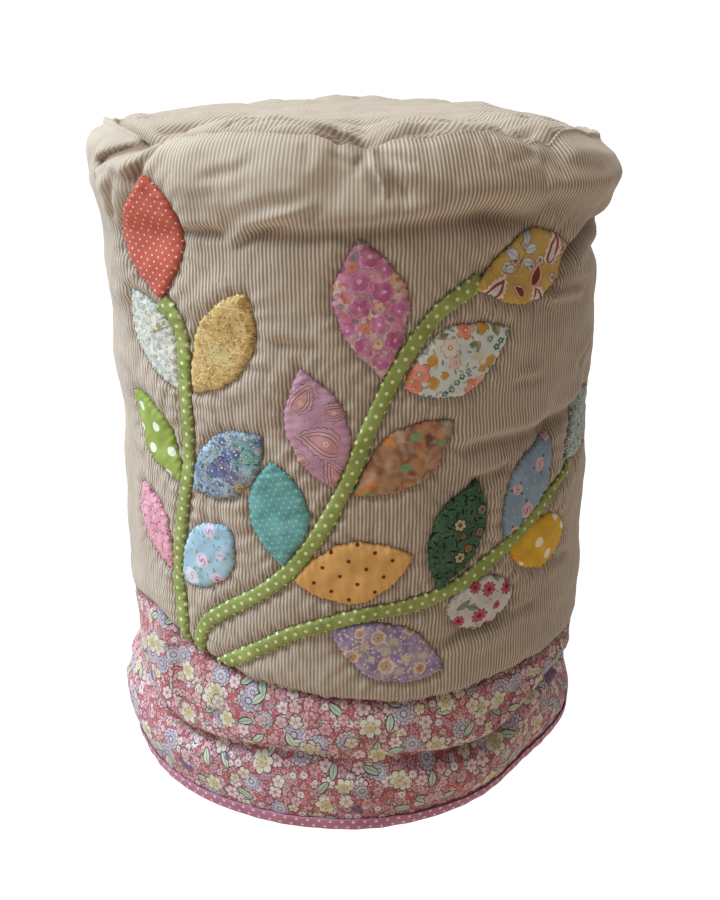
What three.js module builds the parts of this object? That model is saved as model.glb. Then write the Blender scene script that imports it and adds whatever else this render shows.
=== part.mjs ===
// Padded cloth cover for an upturned round water bottle.
//
// Millimetres, +Z up. The bound hem stands on z = 0, the bottle's axis is Z and the decorated
// side faces -Y. Azimuths are in degrees from the front, positive towards +X.
//
// Pieces, as they are cut and sewn:
//   body_panel      quilted wall in fine stripes, one ring, open at the foot
//   top_panel       quilted round top, sewn to the wall along the rim
//   skirt_band      unpadded printed band, sewn to the foot of the wall
//   hem_binding     narrow strip folded over the band's lower edge
//   stem_*          three bias tapes laid on the wall
//   leaf_*          twenty pointed leaves laid on the wall, beside the stems
import * as THREE from "three";

// ---------------------------------------------------------------- driving sizes
const COLUMNS = 60; // divisions round the cover
const FIRST_COLUMN = 3; // azimuth of one column, where the rim is pinched in at the front
const WALL = 6; // quilted wall, two cloths and the wadding between
const BAND = 2; // unpadded band, two layers of cotton at rest on each other
const TAPE = 1; // binding cloth
const GAP = 0.3; // clearance between neighbouring pieces
const MITRE = 5; // slant of the rim seam across the thickness of the wall
const CEILING = 388; // flat underside of the top, where the bottle's base bears
const RIM_RADIUS = 140; // rim seam
const BINDING_HEIGHT = 9;
const APPLIQUE_RADIUS = 146; // distances along the wall are azimuth times this radius
const LEAF_EDGE = 1; // thickness of a leaf at its turned edge
const LEAF_MIDDLE = 1.8; // thickness of a leaf along its middle
const STEM_WIDTH = 8.6;
const STEM_EDGE = 0.9;
const STEM_MIDDLE = 1.5;
const STEM_STEP = 12.5; // length of one division of a stem

// ---------------------------------------------------------------- tables
// Outside radius of the wall by height, in four directions.
const PROFILE = [
  { z: 70, front: 146.0, right: 146.8, back: 146.0, left: 146.3 },
  { z: 96, front: 145.8, right: 148.6, back: 145.8, left: 146.3 },
  { z: 118, front: 145.5, right: 150.0, back: 145.5, left: 147.2 },
  { z: 147, front: 145.4, right: 147.6, back: 145.3, left: 147.1 },
  { z: 181, front: 145.3, right: 148.6, back: 145.2, left: 146.6 },
  { z: 201, front: 145.2, right: 147.0, back: 145.0, left: 145.5 },
  { z: 227, front: 145.0, right: 144.9, back: 145.1, left: 144.5 },
  { z: 259, front: 144.8, right: 147.1, back: 144.9, left: 148.3 },
  { z: 289, front: 144.8, right: 145.2, back: 144.8, left: 145.4 },
  { z: 313, front: 145.0, right: 143.4, back: 145.0, left: 144.6 },
  { z: 328, front: 145.6, right: 137.0, back: 145.8, left: 143.0 },
  { z: 342, front: 146.8, right: 140.9, back: 147.0, left: 142.5 },
  { z: 354, front: 148.2, right: 147.9, back: 149.0, left: 145.9 },
  { z: 365, front: 148.6, right: 153.3, back: 149.6, left: 149.5 },
  { z: 376, front: 147.0, right: 148.0, back: 147.6, left: 150.1 },
  { z: 386, front: 144.0, right: 147.1, back: 144.6, left: 149.9 },
  { z: 392, front: 142.0, right: 142.8, back: 142.0, left: 145.8 },
];

// The cover was kept folded flat, so its upper part stands out at the two sides of the front.
// Each corner grows from height "from" to "full" and eases off again above "ease".
const CORNERS = [
  { azimuth: -58, reach: 15, out: 10.5, from: 262, full: 330, ease: 374 },
  { azimuth: 60, reach: 16, out: 7, from: 250, full: 340, ease: 374 },
];

// Height of the seam between wall and band.
const FOOT_SEAM = [
  { azimuth: -180, z: 90.5 },
  { azimuth: -140, z: 94.0 },
  { azimuth: -105, z: 97.5 },
  { azimuth: -77, z: 101.7 },
  { azimuth: -61, z: 110.9 },
  { azimuth: -52, z: 111.7 },
  { azimuth: -44, z: 104.9 },
  { azimuth: -29, z: 95.4 },
  { azimuth: -12, z: 89.7 },
  { azimuth: 4, z: 85.0 },
  { azimuth: 18, z: 83.3 },
  { azimuth: 34, z: 85.5 },
  { azimuth: 55, z: 85.4 },
  { azimuth: 78, z: 82.5 },
  { azimuth: 110, z: 85.5 },
  { azimuth: 145, z: 88.0 },
];

// Height of the rim seam between wall and top, pinched down at the front, and how far the
// puffed shoulder of the wall stands above it.
const RIM_SEAM = [
  { azimuth: -180, z: 392.4, shoulder: 0.6 },
  { azimuth: -172, z: 392.6, shoulder: 0.6 },
  { azimuth: -163, z: 390.0, shoulder: 0.6 },
  { azimuth: -153, z: 389.8, shoulder: 0.8 },
  { azimuth: -141, z: 387.4, shoulder: 1.0 },
  { azimuth: -132, z: 387.4, shoulder: 1.4 },
  { azimuth: -120, z: 382.6, shoulder: 2.0 },
  { azimuth: -108, z: 384.4, shoulder: 2.8 },
  { azimuth: -93, z: 385.4, shoulder: 4.0 },
  { azimuth: -78, z: 386.4, shoulder: 4.6 },
  { azimuth: -60, z: 387.6, shoulder: 3.0 },
  { azimuth: -45, z: 388.6, shoulder: 0.8 },
  { azimuth: -33, z: 391.8, shoulder: 0.4 },
  { azimuth: -15, z: 393.5, shoulder: 0.3 },
  { azimuth: -6, z: 391.6, shoulder: 0.3 },
  { azimuth: 3, z: 385.6, shoulder: 0.3 },
  { azimuth: 12, z: 392.4, shoulder: 0.3 },
  { azimuth: 24, z: 394.8, shoulder: 0.3 },
  { azimuth: 33, z: 393.4, shoulder: 0.4 },
  { azimuth: 42, z: 390.0, shoulder: 0.8 },
  { azimuth: 57, z: 387.0, shoulder: 1.8 },
  { azimuth: 72, z: 383.6, shoulder: 2.6 },
  { azimuth: 87, z: 382.0, shoulder: 3.2 },
  { azimuth: 102, z: 380.6, shoulder: 3.0 },
  { azimuth: 114, z: 376.8, shoulder: 2.2 },
  { azimuth: 126, z: 384.8, shoulder: 1.8 },
  { azimuth: 141, z: 386.6, shoulder: 1.2 },
  { azimuth: 153, z: 390.2, shoulder: 0.8 },
  { azimuth: 165, z: 389.8, shoulder: 0.6 },
];

// Troughs in the wall. Each runs from its first point to its second; reach is the half width,
// and a negative depth is a ridge.
const FOLDS = [
  { name: "under_roll_a", a0: 3, z0: 347, a1: 27, z1: 353, reach: 9, depth: 1.6 },
  { name: "under_roll_b", a0: 27, z0: 353, a1: 62, z1: 343, reach: 10, depth: 3.2 },
  { name: "under_roll_c", a0: 62, z0: 341, a1: 50, z1: 325, reach: 9, depth: 2.2 },
  { name: "left_roll_a", a0: -60, z0: 334, a1: -26, z1: 346, reach: 10, depth: 2.2 },
  { name: "left_roll_b", a0: -21, z0: 343, a1: -8, z1: 356, reach: 9, depth: 1.4 },
  { name: "left_pinch_up", a0: -46, z0: 389, a1: -66, z1: 373, reach: 8, depth: 3.0 },
  { name: "left_pinch_down", a0: -47, z0: 388, a1: -50, z1: 368, reach: 8, depth: 2.0 },
  { name: "front_pinch_left", a0: 3, z0: 390, a1: -4, z1: 370, reach: 8, depth: 3.4 },
  { name: "front_pinch_right", a0: 3, z0: 390, a1: 9, z1: 368, reach: 8, depth: 3.0 },
  { name: "right_pinch", a0: 39, z0: 391, a1: 44, z1: 377, reach: 8, depth: 2.6 },
  { name: "shoulder_ridge", a0: -33, z0: 372, a1: -12, z1: 374, reach: 14, depth: -1.8 },
  { name: "shoulder_ridge_right", a0: 14, z0: 374, a1: 34, z1: 375, reach: 13, depth: -2.2 },
  { name: "waist_right", a0: 42, z0: 300, a1: 66, z1: 304, reach: 11, depth: 1.8 },
  { name: "elbow_right", a0: 19, z0: 207, a1: 50, z1: 236, reach: 11, depth: 1.6 },
  { name: "elbow_right_out", a0: 50, z0: 236, a1: 68, z1: 245, reach: 11, depth: 2.0 },
  { name: "foot_right", a0: 8, z0: 120, a1: 48, z1: 126, reach: 12, depth: 1.4 },
  { name: "back_roll", a0: 120, z0: 346, a1: 172, z1: 350, reach: 10, depth: 1.8 },
  { name: "back_roll_left", a0: -170, z0: 348, a1: -118, z1: 342, reach: 10, depth: 1.8 },
  { name: "back_waist", a0: 112, z0: 236, a1: 150, z1: 224, reach: 12, depth: 1.4 },
  { name: "back_waist_left", a0: -146, z0: 190, a1: -112, z1: 206, reach: 12, depth: 1.4 },
];

// Outside radius of the band, by height (rows) and azimuth (columns).
const BAND_AZIMUTHS = [-180, -130, -100, -80, -50, -20, 5, 30, 52, 66, 80, 97, 130];
const BAND_RADII = [
  { z: 0, at: [145.5, 147.0, 148.4, 147.6, 148.6, 147.2, 145.8, 140.4, 134.8, 139.4, 146.0, 147.4, 146.5] },
  { z: 9, at: [147.0, 148.6, 150.6, 150.8, 151.4, 149.4, 147.8, 144.0, 137.4, 141.8, 147.4, 148.6, 147.6] },
  { z: 20, at: [149.0, 150.6, 153.6, 155.6, 154.4, 151.0, 150.0, 148.6, 140.8, 144.4, 148.4, 149.0, 149.4] },
  { z: 31, at: [149.4, 150.8, 153.0, 156.8, 154.0, 150.0, 149.4, 148.2, 142.4, 142.8, 143.2, 146.2, 149.4] },
  { z: 43, at: [147.6, 148.6, 150.4, 153.8, 149.4, 145.8, 145.8, 144.2, 142.0, 137.6, 132.8, 136.6, 146.0] },
  { z: 54, at: [147.4, 147.8, 148.2, 148.4, 148.6, 147.6, 147.6, 147.0, 144.6, 142.6, 140.8, 143.0, 146.0] },
  { z: 66, at: [147.8, 147.6, 147.0, 145.2, 149.4, 149.4, 149.2, 148.6, 146.6, 146.2, 145.4, 146.0, 147.2] },
  { z: 78, at: [146.8, 146.6, 146.4, 145.2, 148.6, 148.4, 147.8, 147.4, 147.6, 147.2, 146.0, 146.8, 147.0] },
  { z: 96, at: [146.0, 146.0, 146.2, 146.3, 147.4, 146.6, 146.2, 146.2, 146.6, 147.4, 148.4, 148.0, 146.4] },
  { z: 116, at: [146.0, 146.0, 146.6, 147.0, 146.6, 145.8, 145.6, 145.8, 147.0, 148.0, 149.4, 149.0, 146.4] },
];

// Quilting notches that draw the top in along its rim.
const TOP_NOTCHES = [
  { azimuth: -163, depth: 1.6 },
  { azimuth: -141, depth: 2.0 },
  { azimuth: -123, depth: 2.2 },
  { azimuth: -93, depth: 2.0 },
  { azimuth: -69, depth: 1.4 },
  { azimuth: -45, depth: 2.6 },
  { azimuth: -21, depth: 1.2 },
  { azimuth: 3, depth: 3.4 },
  { azimuth: 21, depth: 1.2 },
  { azimuth: 39, depth: 2.4 },
  { azimuth: 63, depth: 1.4 },
  { azimuth: 87, depth: 1.6 },
  { azimuth: 111, depth: 1.8 },
  { azimuth: 141, depth: 2.4 },
  { azimuth: 165, depth: 2.4 },
];

// Crown of the top above the rim seam, by share of its radius. Level is the share of the way
// from the rim's own height to the even middle; notch is the share of a quilting notch's depth
// that reaches this ring.
const CROWN = [
  { share: 1.0, rise: 0.2, level: 0, notch: 0 },
  { share: 0.97, rise: 3.6, level: 0.02, notch: 0.8 },
  { share: 0.91, rise: 5.4, level: 0.14, notch: 1 },
  { share: 0.8, rise: 5.4, level: 0.5, notch: 0.7 },
  { share: 0.56, rise: 5.8, level: 1, notch: 0.3 },
  { share: 0.28, rise: 6.0, level: 1, notch: 0 },
];
const CROWN_LEVEL = 391;
const CROWN_MIDDLE = 397.2;

// Heights of the rows of the wall, as shares of the way from foot seam to rim seam. The
// shoulder and the seam come after.
const WALL_ROWS = [0, 0.06, 0.14, 0.22, 0.3, 0.38, 0.46, 0.54, 0.62, 0.69, 0.755, 0.81, 0.855, 0.895, 0.93, 0.96, 0.985];
const LINING_ROWS = [0, 0.2, 0.4, 0.6, 0.75, 0.86, 0.94, 1];
const BAND_ROWS = [20, 31, 43, 54, 66]; // heights; the foot and the seam come before and after

// Leaves: foot and tip on the unrolled wall, half widths to the left and right of the line from
// foot to tip, and where along it the leaf is widest.
const LEAVES = [
  { name: "leaf_coral", u0: -106.2, z0: 308.8, u1: -110.0, z1: 371.3, left: 20.4, right: 17.2, widest: 0.56, color: 0xb46e5e },
  { name: "leaf_pale_blue", u0: -99.8, z0: 258.1, u1: -129.6, z1: 309.9, left: 18.4, right: 14.4, widest: 0.56, color: 0xc3c6c2 },
  { name: "leaf_gold", u0: -89.5, z0: 260.3, u1: -54.5, z1: 315.8, left: 14.8, right: 18.6, widest: 0.52, color: 0xb39d6e },
  { name: "leaf_green_dot", u0: -103.1, z0: 204.3, u1: -145.6, z1: 249.6, left: 15.4, right: 15.2, widest: 0.55, color: 0x97a068 },
  { name: "leaf_blue_purple", u0: -94.5, z0: 204.2, u1: -48.8, z1: 241.1, left: 15.6, right: 18.2, widest: 0.5, color: 0x8388a4 },
  { name: "leaf_pink_line", u0: -115.2, z0: 145.5, u1: -147.0, z1: 192.6, left: 13.4, right: 15.2, widest: 0.55, color: 0xb88fa0 },
  { name: "leaf_sky_rose", u0: -106.1, z0: 143.9, u1: -70.4, z1: 185.2, left: 15.6, right: 17.4, widest: 0.54, color: 0xa3b6c8 },
  { name: "leaf_teal_dot", u0: -38.5, z0: 167.8, u1: -43.7, z1: 228.2, left: 16.6, right: 18.2, widest: 0.52, color: 0x5f8a87 },
  { name: "leaf_paisley", u0: -9.6, z0: 215.4, u1: -26.6, z1: 279.3, left: 17.2, right: 16.8, widest: 0.5, color: 0x997a7c },
  { name: "leaf_magenta", u0: 16.2, z0: 273.6, u1: 3.4, z1: 344.5, left: 18.4, right: 19.2, widest: 0.55, color: 0x8d6469 },
  { name: "leaf_mustard", u0: 63.5, z0: 317.9, u1: 132.0, z1: 331.6, left: 18.8, right: 18.8, widest: 0.54, lift: 1.2, color: 0x9c8454 },
  { name: "leaf_white_floral", u0: 26.6, z0: 269.4, u1: 86.2, z1: 295.2, left: 17.8, right: 18.8, widest: 0.48, color: 0xa39d8f },
  { name: "leaf_amber", u0: -0.3, z0: 211.2, u1: 53.5, z1: 250.0, left: 15.4, right: 16.8, widest: 0.54, color: 0xa5825d },
  { name: "leaf_orange_dot", u0: -32.5, z0: 160.7, u1: 32.9, z1: 174.6, left: 16.8, right: 19.4, widest: 0.5, color: 0xa47d4a },
  { name: "leaf_purple", u0: -12.2, z0: 131.2, u1: 52.0, z1: 102.7, left: 17.2, right: 17.6, widest: 0.5, color: 0x9b8a9e },
  { name: "leaf_dark_green", u0: 47.3, z0: 152.7, u1: 71.5, z1: 213.0, left: 17.8, right: 15.6, widest: 0.52, color: 0x3e4531 },
  { name: "leaf_pink_white", u0: 53.1, z0: 139.1, u1: 98.6, z1: 138.8, left: 16.4, right: 17.2, widest: 0.5, color: 0xa58c8c },
  { name: "leaf_blue_rose", u0: 89.4, z0: 175.4, u1: 128.0, z1: 228.8, left: 17.2, right: 15.8, widest: 0.5, color: 0x8a94a3 },
  { name: "leaf_yellow_dot", u0: 92.5, z0: 169.6, u1: 147.0, z1: 161.8, left: 14.8, right: 18.6, widest: 0.54, color: 0x8e723e },
  { name: "leaf_teal_speckle", u0: 144.4, z0: 206.8, u1: 193.0, z1: 238.6, left: 16.4, right: 17.6, widest: 0.52, color: 0x8c9996 },
];
const LEAF_STATIONS = [0.06, 0.18, 0.34, 0.5, 0.66, 0.82, 0.94];

// Stems: points on the unrolled wall from the free end down to the seam.
const STEMS = [
  {
    name: "stem_left",
    points: [
      { a: -42.6, z: 306.8 },
      { a: -38.7, z: 296.6 },
      { a: -37.6, z: 270 },
      { a: -37.7, z: 246.9 },
      { a: -38.2, z: 220 },
      { a: -40.3, z: 193 },
      { a: -43.1, z: 158 },
      { a: -43.7, z: 142.1 },
      { a: -43.0, z: 126 },
      { a: -42.4, z: 106.4 },
    ],
  },
  {
    name: "stem_middle",
    points: [
      { a: 23.8, z: 318 },
      { a: 16.8, z: 306.2 },
      { a: 9.2, z: 279.2 },
      { a: 3.5, z: 248.5 },
      { a: -0.9, z: 219.4 },
      { a: -7.4, z: 187.5 },
      { a: -16.1, z: 159 },
      { a: -28.9, z: 134.8 },
      { a: -35.0, z: 122 },
      { a: -37.0, z: 112.2 },
      { a: -37.2, z: 103.2 },
    ],
  },
  {
    name: "stem_right",
    points: [
      { a: -30.6, z: 99.2 },
      { a: -24.7, z: 109 },
      { a: -11.8, z: 129 },
      { a: 1.7, z: 140.7 },
      { a: 16, z: 147 },
      { a: 25.3, z: 155.9 },
      { a: 34, z: 168 },
      { a: 47.7, z: 187.3 },
      { a: 59.1, z: 202 },
    ],
  },
];
const STEM_COLOR = 0x73794a;

// ---------------------------------------------------------------- small helpers
const rad = THREE.MathUtils.degToRad;
const mix = THREE.MathUtils.lerp;
const clamp = THREE.MathUtils.clamp;
const ease = (t) => THREE.MathUtils.smoothstep(t, 0, 1);
const turn = (a) => ((((a + 180) % 360) + 360) % 360) - 180; // azimuth in -180..180

// A soft curve through (xs, ys); period is 360 for a table that goes all the way round.
function curve(xs, ys, x, period = 0) {
  const n = xs.length;
  const at = (i) => (period ? xs[((i % n) + n) % n] + period * Math.floor(i / n) : xs[clamp(i, 0, n - 1)]);
  const val = (i) => (period ? ys[((i % n) + n) % n] : ys[clamp(i, 0, n - 1)]);
  if (period) x = xs[0] + ((((x - xs[0]) % period) + period) % period);
  else if (x <= xs[0]) return ys[0];
  else if (x >= xs[n - 1]) return ys[n - 1];
  let i = 0;
  while (i < n - 1 && x > at(i + 1)) i++;
  const slope = (k) => {
    const span = at(k + 1) - at(k - 1);
    return span > 0 ? (val(k + 1) - val(k - 1)) / span : 0;
  };
  const h = at(i + 1) - at(i);
  const t = (x - at(i)) / h;
  const t2 = t * t;
  const t3 = t2 * t;
  return (
    (2 * t3 - 3 * t2 + 1) * val(i) +
    (t3 - 2 * t2 + t) * h * slope(i) +
    (3 * t2 - 2 * t3) * val(i + 1) +
    (t3 - t2) * h * slope(i + 1)
  );
}
const column = (rows, key) => rows.map((r) => r[key]);

const footSeam = (a) => curve(column(FOOT_SEAM, "azimuth"), column(FOOT_SEAM, "z"), a, 360);
const rimSeam = (a) => curve(column(RIM_SEAM, "azimuth"), column(RIM_SEAM, "z"), a, 360);
const shoulder = (a) => curve(column(RIM_SEAM, "azimuth"), column(RIM_SEAM, "shoulder"), a, 360);

// ---------------------------------------------------------------- the wall's outside
function wallProfile(a, z) {
  const zs = column(PROFILE, "z");
  const c = Math.cos(rad(a));
  const s = Math.sin(rad(a));
  const along = (key) => curve(zs, column(PROFILE, key), z);
  const corner = CORNERS.reduce(
    (sum, k) =>
      sum +
      k.out *
        ease((z - k.from) / (k.full - k.from)) *
        (1 - 0.45 * ease((z - k.ease) / 14)) *
        Math.exp(-((turn(a - k.azimuth) / k.reach) ** 2)),
    0,
  );
  return c * c * along(c > 0 ? "front" : "back") + s * s * along(s > 0 ? "right" : "left") + corner;
}

function wallFolds(a, z) {
  let sum = 0;
  for (const f of FOLDS) {
    const u = (turn(a - f.a0) * Math.PI * APPLIQUE_RADIUS) / 180;
    const du = (turn(f.a1 - f.a0) * Math.PI * APPLIQUE_RADIUS) / 180;
    const dz = f.z1 - f.z0;
    const length2 = du * du + dz * dz;
    const t = clamp((u * du + (z - f.z0) * dz) / length2, 0, 1);
    const d2 = (u - t * du) ** 2 + (z - f.z0 - t * dz) ** 2;
    sum -= f.depth * Math.exp(-d2 / (f.reach * f.reach));
  }
  return sum;
}
const wallRadius = (a, z) => wallProfile(a, z) + wallFolds(a, z);
const rimRadius = (a) => RIM_RADIUS + 0.6 * wallFolds(a, rimSeam(a));
const liningRadius = (a, z) => wallProfile(a, z) + 0.5 * wallFolds(a, z) - WALL;

// ---------------------------------------------------------------- the band's outside
function bandRadius(a, z) {
  const zs = column(BAND_RADII, "z");
  const free = curve(
    zs,
    BAND_RADII.map((row) => curve(BAND_AZIMUTHS, row.at, a, 360)),
    z,
  );
  const seam = footSeam(a);
  return mix(free, wallRadius(a, seam), ease((z - (seam - 14)) / 14));
}
// The bound edge is straight between the floor and the top of the binding.
const hemRadius = (a, z) => mix(bandRadius(a, 0), bandRadius(a, BINDING_HEIGHT), z / BINDING_HEIGHT);

// ---------------------------------------------------------------- mesh building
const azimuthOf = (i) => FIRST_COLUMN + (360 * i) / COLUMNS;
const place = (r, a, z) => [r * Math.sin(rad(a)), -r * Math.cos(rad(a)), z];

function toGeometry(points, faces) {
  const g = new THREE.BufferGeometry();
  g.setAttribute("position", new THREE.Float32BufferAttribute(points.flat(), 3));
  g.setIndex(faces.flat());
  g.computeVertexNormals();
  return g;
}

// A ring swept round Z. section(azimuth) gives the closed outline as [r, z] pairs, running up
// the outside and down the inside.
function ring(section) {
  const points = [];
  const faces = [];
  let n = 0;
  for (let i = 0; i < COLUMNS; i++) {
    const a = azimuthOf(i);
    const outline = section(a);
    n = outline.length;
    for (const [r, z] of outline) points.push(place(r, a, z));
  }
  for (let i = 0; i < COLUMNS; i++) {
    const j = (i + 1) % COLUMNS;
    for (let k = 0; k < n; k++) {
      const l = (k + 1) % n;
      faces.push([i * n + k, j * n + k, j * n + l], [i * n + k, j * n + l, i * n + l]);
    }
  }
  return toGeometry(points, faces);
}

function mesh(name, geometry, color, roughness = 0.9) {
  const m = new THREE.Mesh(geometry, new THREE.MeshStandardMaterial({ color, roughness, metalness: 0 }));
  m.name = name;
  return m;
}

// ---------------------------------------------------------------- wall, top, band, binding
function wallGeometry() {
  return ring((a) => {
    const low = footSeam(a);
    const high = rimSeam(a);
    const rim = rimRadius(a);
    const rise = shoulder(a);
    const outside = WALL_ROWS.map((v) => {
      const z = mix(low, high, v);
      return [wallRadius(a, z), z];
    });
    const crest = [
      [rim + 1.6 + 1.15 * rise, high + rise],
      [rim, high],
    ];
    const inside = [...LINING_ROWS].reverse().map((v) => {
      const z = mix(low, high - MITRE, v);
      return [mix(liningRadius(a, z), rim - WALL + 0.5, ease((v - 0.86) / 0.14)), z];
    });
    return [...outside, ...crest, ...inside];
  });
}

function topGeometry() {
  const points = [];
  const faces = [];
  const upper = CROWN.length;
  const n = upper + 3;
  for (let i = 0; i < COLUMNS; i++) {
    const a = azimuthOf(i);
    const rimZ = rimSeam(a);
    const rimR = rimRadius(a) - GAP;
    const notch = TOP_NOTCHES.reduce((sum, t) => sum + t.depth * Math.exp(-((turn(a - t.azimuth) / 5) ** 2)), 0);
    for (const c of CROWN)
      points.push(place(rimR * c.share, a, mix(rimZ, CROWN_LEVEL, c.level) + c.rise - notch * c.notch));
    // the underside: the flat ceiling, and the slope from it out to the slanted rim seam
    const under = rimR - WALL + 0.2;
    points.push(place(under * 0.72, a, CEILING));
    points.push(place(under * 0.9, a, Math.min(CEILING - 0.5, rimZ)));
    points.push(place(under, a, rimZ - MITRE + 0.25));
  }
  const crown = points.push([0, 0, CROWN_MIDDLE]) - 1;
  const ceiling = points.push([0, 0, CEILING]) - 1;
  const band = (i, j, k, l) => faces.push([i * n + k, j * n + k, j * n + l], [i * n + k, j * n + l, i * n + l]);
  for (let i = 0; i < COLUMNS; i++) {
    const j = (i + 1) % COLUMNS;
    // across the top from rim to middle
    for (let k = 0; k < upper - 1; k++) band(i, j, k, k + 1);
    faces.push([i * n + upper - 1, j * n + upper - 1, crown]);
    // the flat ceiling, the slope beside it and the slanted rim
    faces.push([ceiling, j * n + upper, i * n + upper]);
    band(i, j, upper, upper + 1);
    band(i, j, upper + 1, upper + 2);
    band(i, j, upper + 2, 0);
  }
  return toGeometry(points, faces);
}

function bandGeometry() {
  return ring((a) => {
    const seam = footSeam(a) - GAP;
    const bottom = TAPE + GAP;
    const rows = [
      [hemRadius(a, bottom), bottom],
      [hemRadius(a, BINDING_HEIGHT), BINDING_HEIGHT],
      ...BAND_ROWS.map((z) => [bandRadius(a, z), z]),
      [bandRadius(a, mix(66, seam, 0.5)), mix(66, seam, 0.5)],
      [wallRadius(a, footSeam(a)), seam],
    ];
    return [...rows, ...[...rows].reverse().map(([r, z]) => [r - BAND, z])];
  });
}

function bindingGeometry() {
  return ring((a) => {
    const r = (z) => hemRadius(a, z);
    const top = BINDING_HEIGHT;
    return [
      [r(0) + GAP + TAPE, 0],
      [r(top) + GAP + TAPE, top],
      [r(top) + GAP, top],
      [r(TAPE) + GAP, TAPE],
      [r(TAPE) - BAND - GAP, TAPE],
      [r(top) - BAND - GAP, top],
      [r(top) - BAND - GAP - TAPE, top],
      [r(0) - BAND - GAP - TAPE, 0],
    ];
  });
}

// ---------------------------------------------------------------- applique
// The wall's own flat facets, which the applique lies on.
function facetRadius(a, z) {
  const step = 360 / COLUMNS;
  const i = Math.floor(turn(a - FIRST_COLUMN + 180) / step + 180 / step);
  const a0 = FIRST_COLUMN + (i - 180 / step) * step - 180;
  const a1 = a0 + step;
  const t = clamp(turn(a - a0) / step, 0, 1);
  const rows = (b) => WALL_ROWS.map((v) => mix(footSeam(b), rimSeam(b), v));
  const line = (b) => {
    const zs = rows(b);
    let k = 0;
    while (k < zs.length - 2 && z > zs[k + 1]) k++;
    const f = (z - zs[k]) / (zs[k + 1] - zs[k]);
    return mix(wallRadius(b, zs[k]), wallRadius(b, zs[k + 1]), f);
  };
  return mix(line(a0), line(a1), t);
}

function onWall(u, z, lift) {
  const a = THREE.MathUtils.radToDeg(u / APPLIQUE_RADIUS);
  return place(Math.max(wallRadius(a, z), facetRadius(a, z)) + lift, a, z);
}

// A strip of cloth from cross-sections of three points, [left, middle, right], each [u, z].
// first and last may be single points, where the piece ends in a point.
function strip(sections, first, last, edge, middle, lift) {
  const points = [];
  const faces = [];
  const add = ([u, z], thick) => {
    points.push(onWall(u, z, lift), onWall(u, z, lift + thick));
    return points.length - 2; // underside; the upper point follows it
  };
  const rows = sections.map(([l, m, r]) => [add(l, edge), add(m, middle), add(r, edge)]);
  const tip0 = first ? add(first, edge) : -1;
  const tip1 = last ? add(last, edge) : -1;
  const quad = (p, q, r, s) => faces.push([p, q, r], [p, r, s]);
  // across = towards the right of the direction of travel, seen from outside
  for (let i = 0; i < rows.length - 1; i++) {
    const [l0, m0, r0] = rows[i];
    const [l1, m1, r1] = rows[i + 1];
    quad(l0 + 1, m0 + 1, m1 + 1, l1 + 1);
    quad(m0 + 1, r0 + 1, r1 + 1, m1 + 1);
    quad(m0, l0, l1, m1);
    quad(r0, m0, m1, r1);
    quad(l0, l0 + 1, l1 + 1, l1);
    quad(r0 + 1, r0, r1, r1 + 1);
  }
  const end = (tip, [l, m, r], flip) => {
    const tri = (p, q, s) => faces.push(flip ? [p, s, q] : [p, q, s]);
    if (tip >= 0) {
      tri(tip + 1, m + 1, l + 1);
      tri(tip + 1, r + 1, m + 1);
      tri(tip, l, m);
      tri(tip, m, r);
      tri(tip, tip + 1, l + 1);
      tri(tip, l + 1, l);
      tri(tip + 1, tip, r);
      tri(tip + 1, r, r + 1);
    } else {
      tri(l, m, m + 1);
      tri(l, m + 1, l + 1);
      tri(m, r, r + 1);
      tri(m, r + 1, m + 1);
    }
  };
  end(tip0, rows[0], false);
  end(tip1, rows[rows.length - 1], true);
  return toGeometry(points, faces);
}

// Centre lines of the stems on the unrolled wall.
const stemLines = STEMS.map((stem) => {
  const spline = new THREE.CatmullRomCurve3(
    stem.points.map((p) => new THREE.Vector3(rad(p.a) * APPLIQUE_RADIUS, p.z, 0)),
    false,
    "centripetal",
  );
  const count = Math.round(spline.getLength() / STEM_STEP);
  return spline.getSpacedPoints(count).map((p) => [p.x, p.y]);
});

function stemGeometry(line, lift) {
  const sections = line.map(([u, z], i) => {
    const [pu, pz] = line[Math.max(i - 1, 0)];
    const [nu, nz] = line[Math.min(i + 1, line.length - 1)];
    const length = Math.hypot(nu - pu, nz - pz);
    const half = STEM_WIDTH / 2;
    const su = ((nz - pz) / length) * half;
    const sz = (-(nu - pu) / length) * half;
    return [
      [u - su, z - sz],
      [u, z],
      [u + su, z + sz],
    ];
  });
  return strip(sections, null, null, STEM_EDGE, STEM_MIDDLE, lift);
}

// Keeps a point of a leaf clear of every stem.
function clearOfStems([u, z]) {
  const keep = STEM_WIDTH / 2 + 2 * GAP;
  for (const line of stemLines)
    for (let i = 0; i < line.length - 1; i++) {
      const [au, az] = line[i];
      const [bu, bz] = line[i + 1];
      const du = bu - au;
      const dz = bz - az;
      const t = clamp(((u - au) * du + (z - az) * dz) / (du * du + dz * dz), 0, 1);
      const ou = u - (au + t * du);
      const oz = z - (az + t * dz);
      const d = Math.hypot(ou, oz);
      if (d < keep && d > 1e-6) {
        u += (ou / d) * (keep - d);
        z += (oz / d) * (keep - d);
      }
    }
  return [u, z];
}

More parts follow.
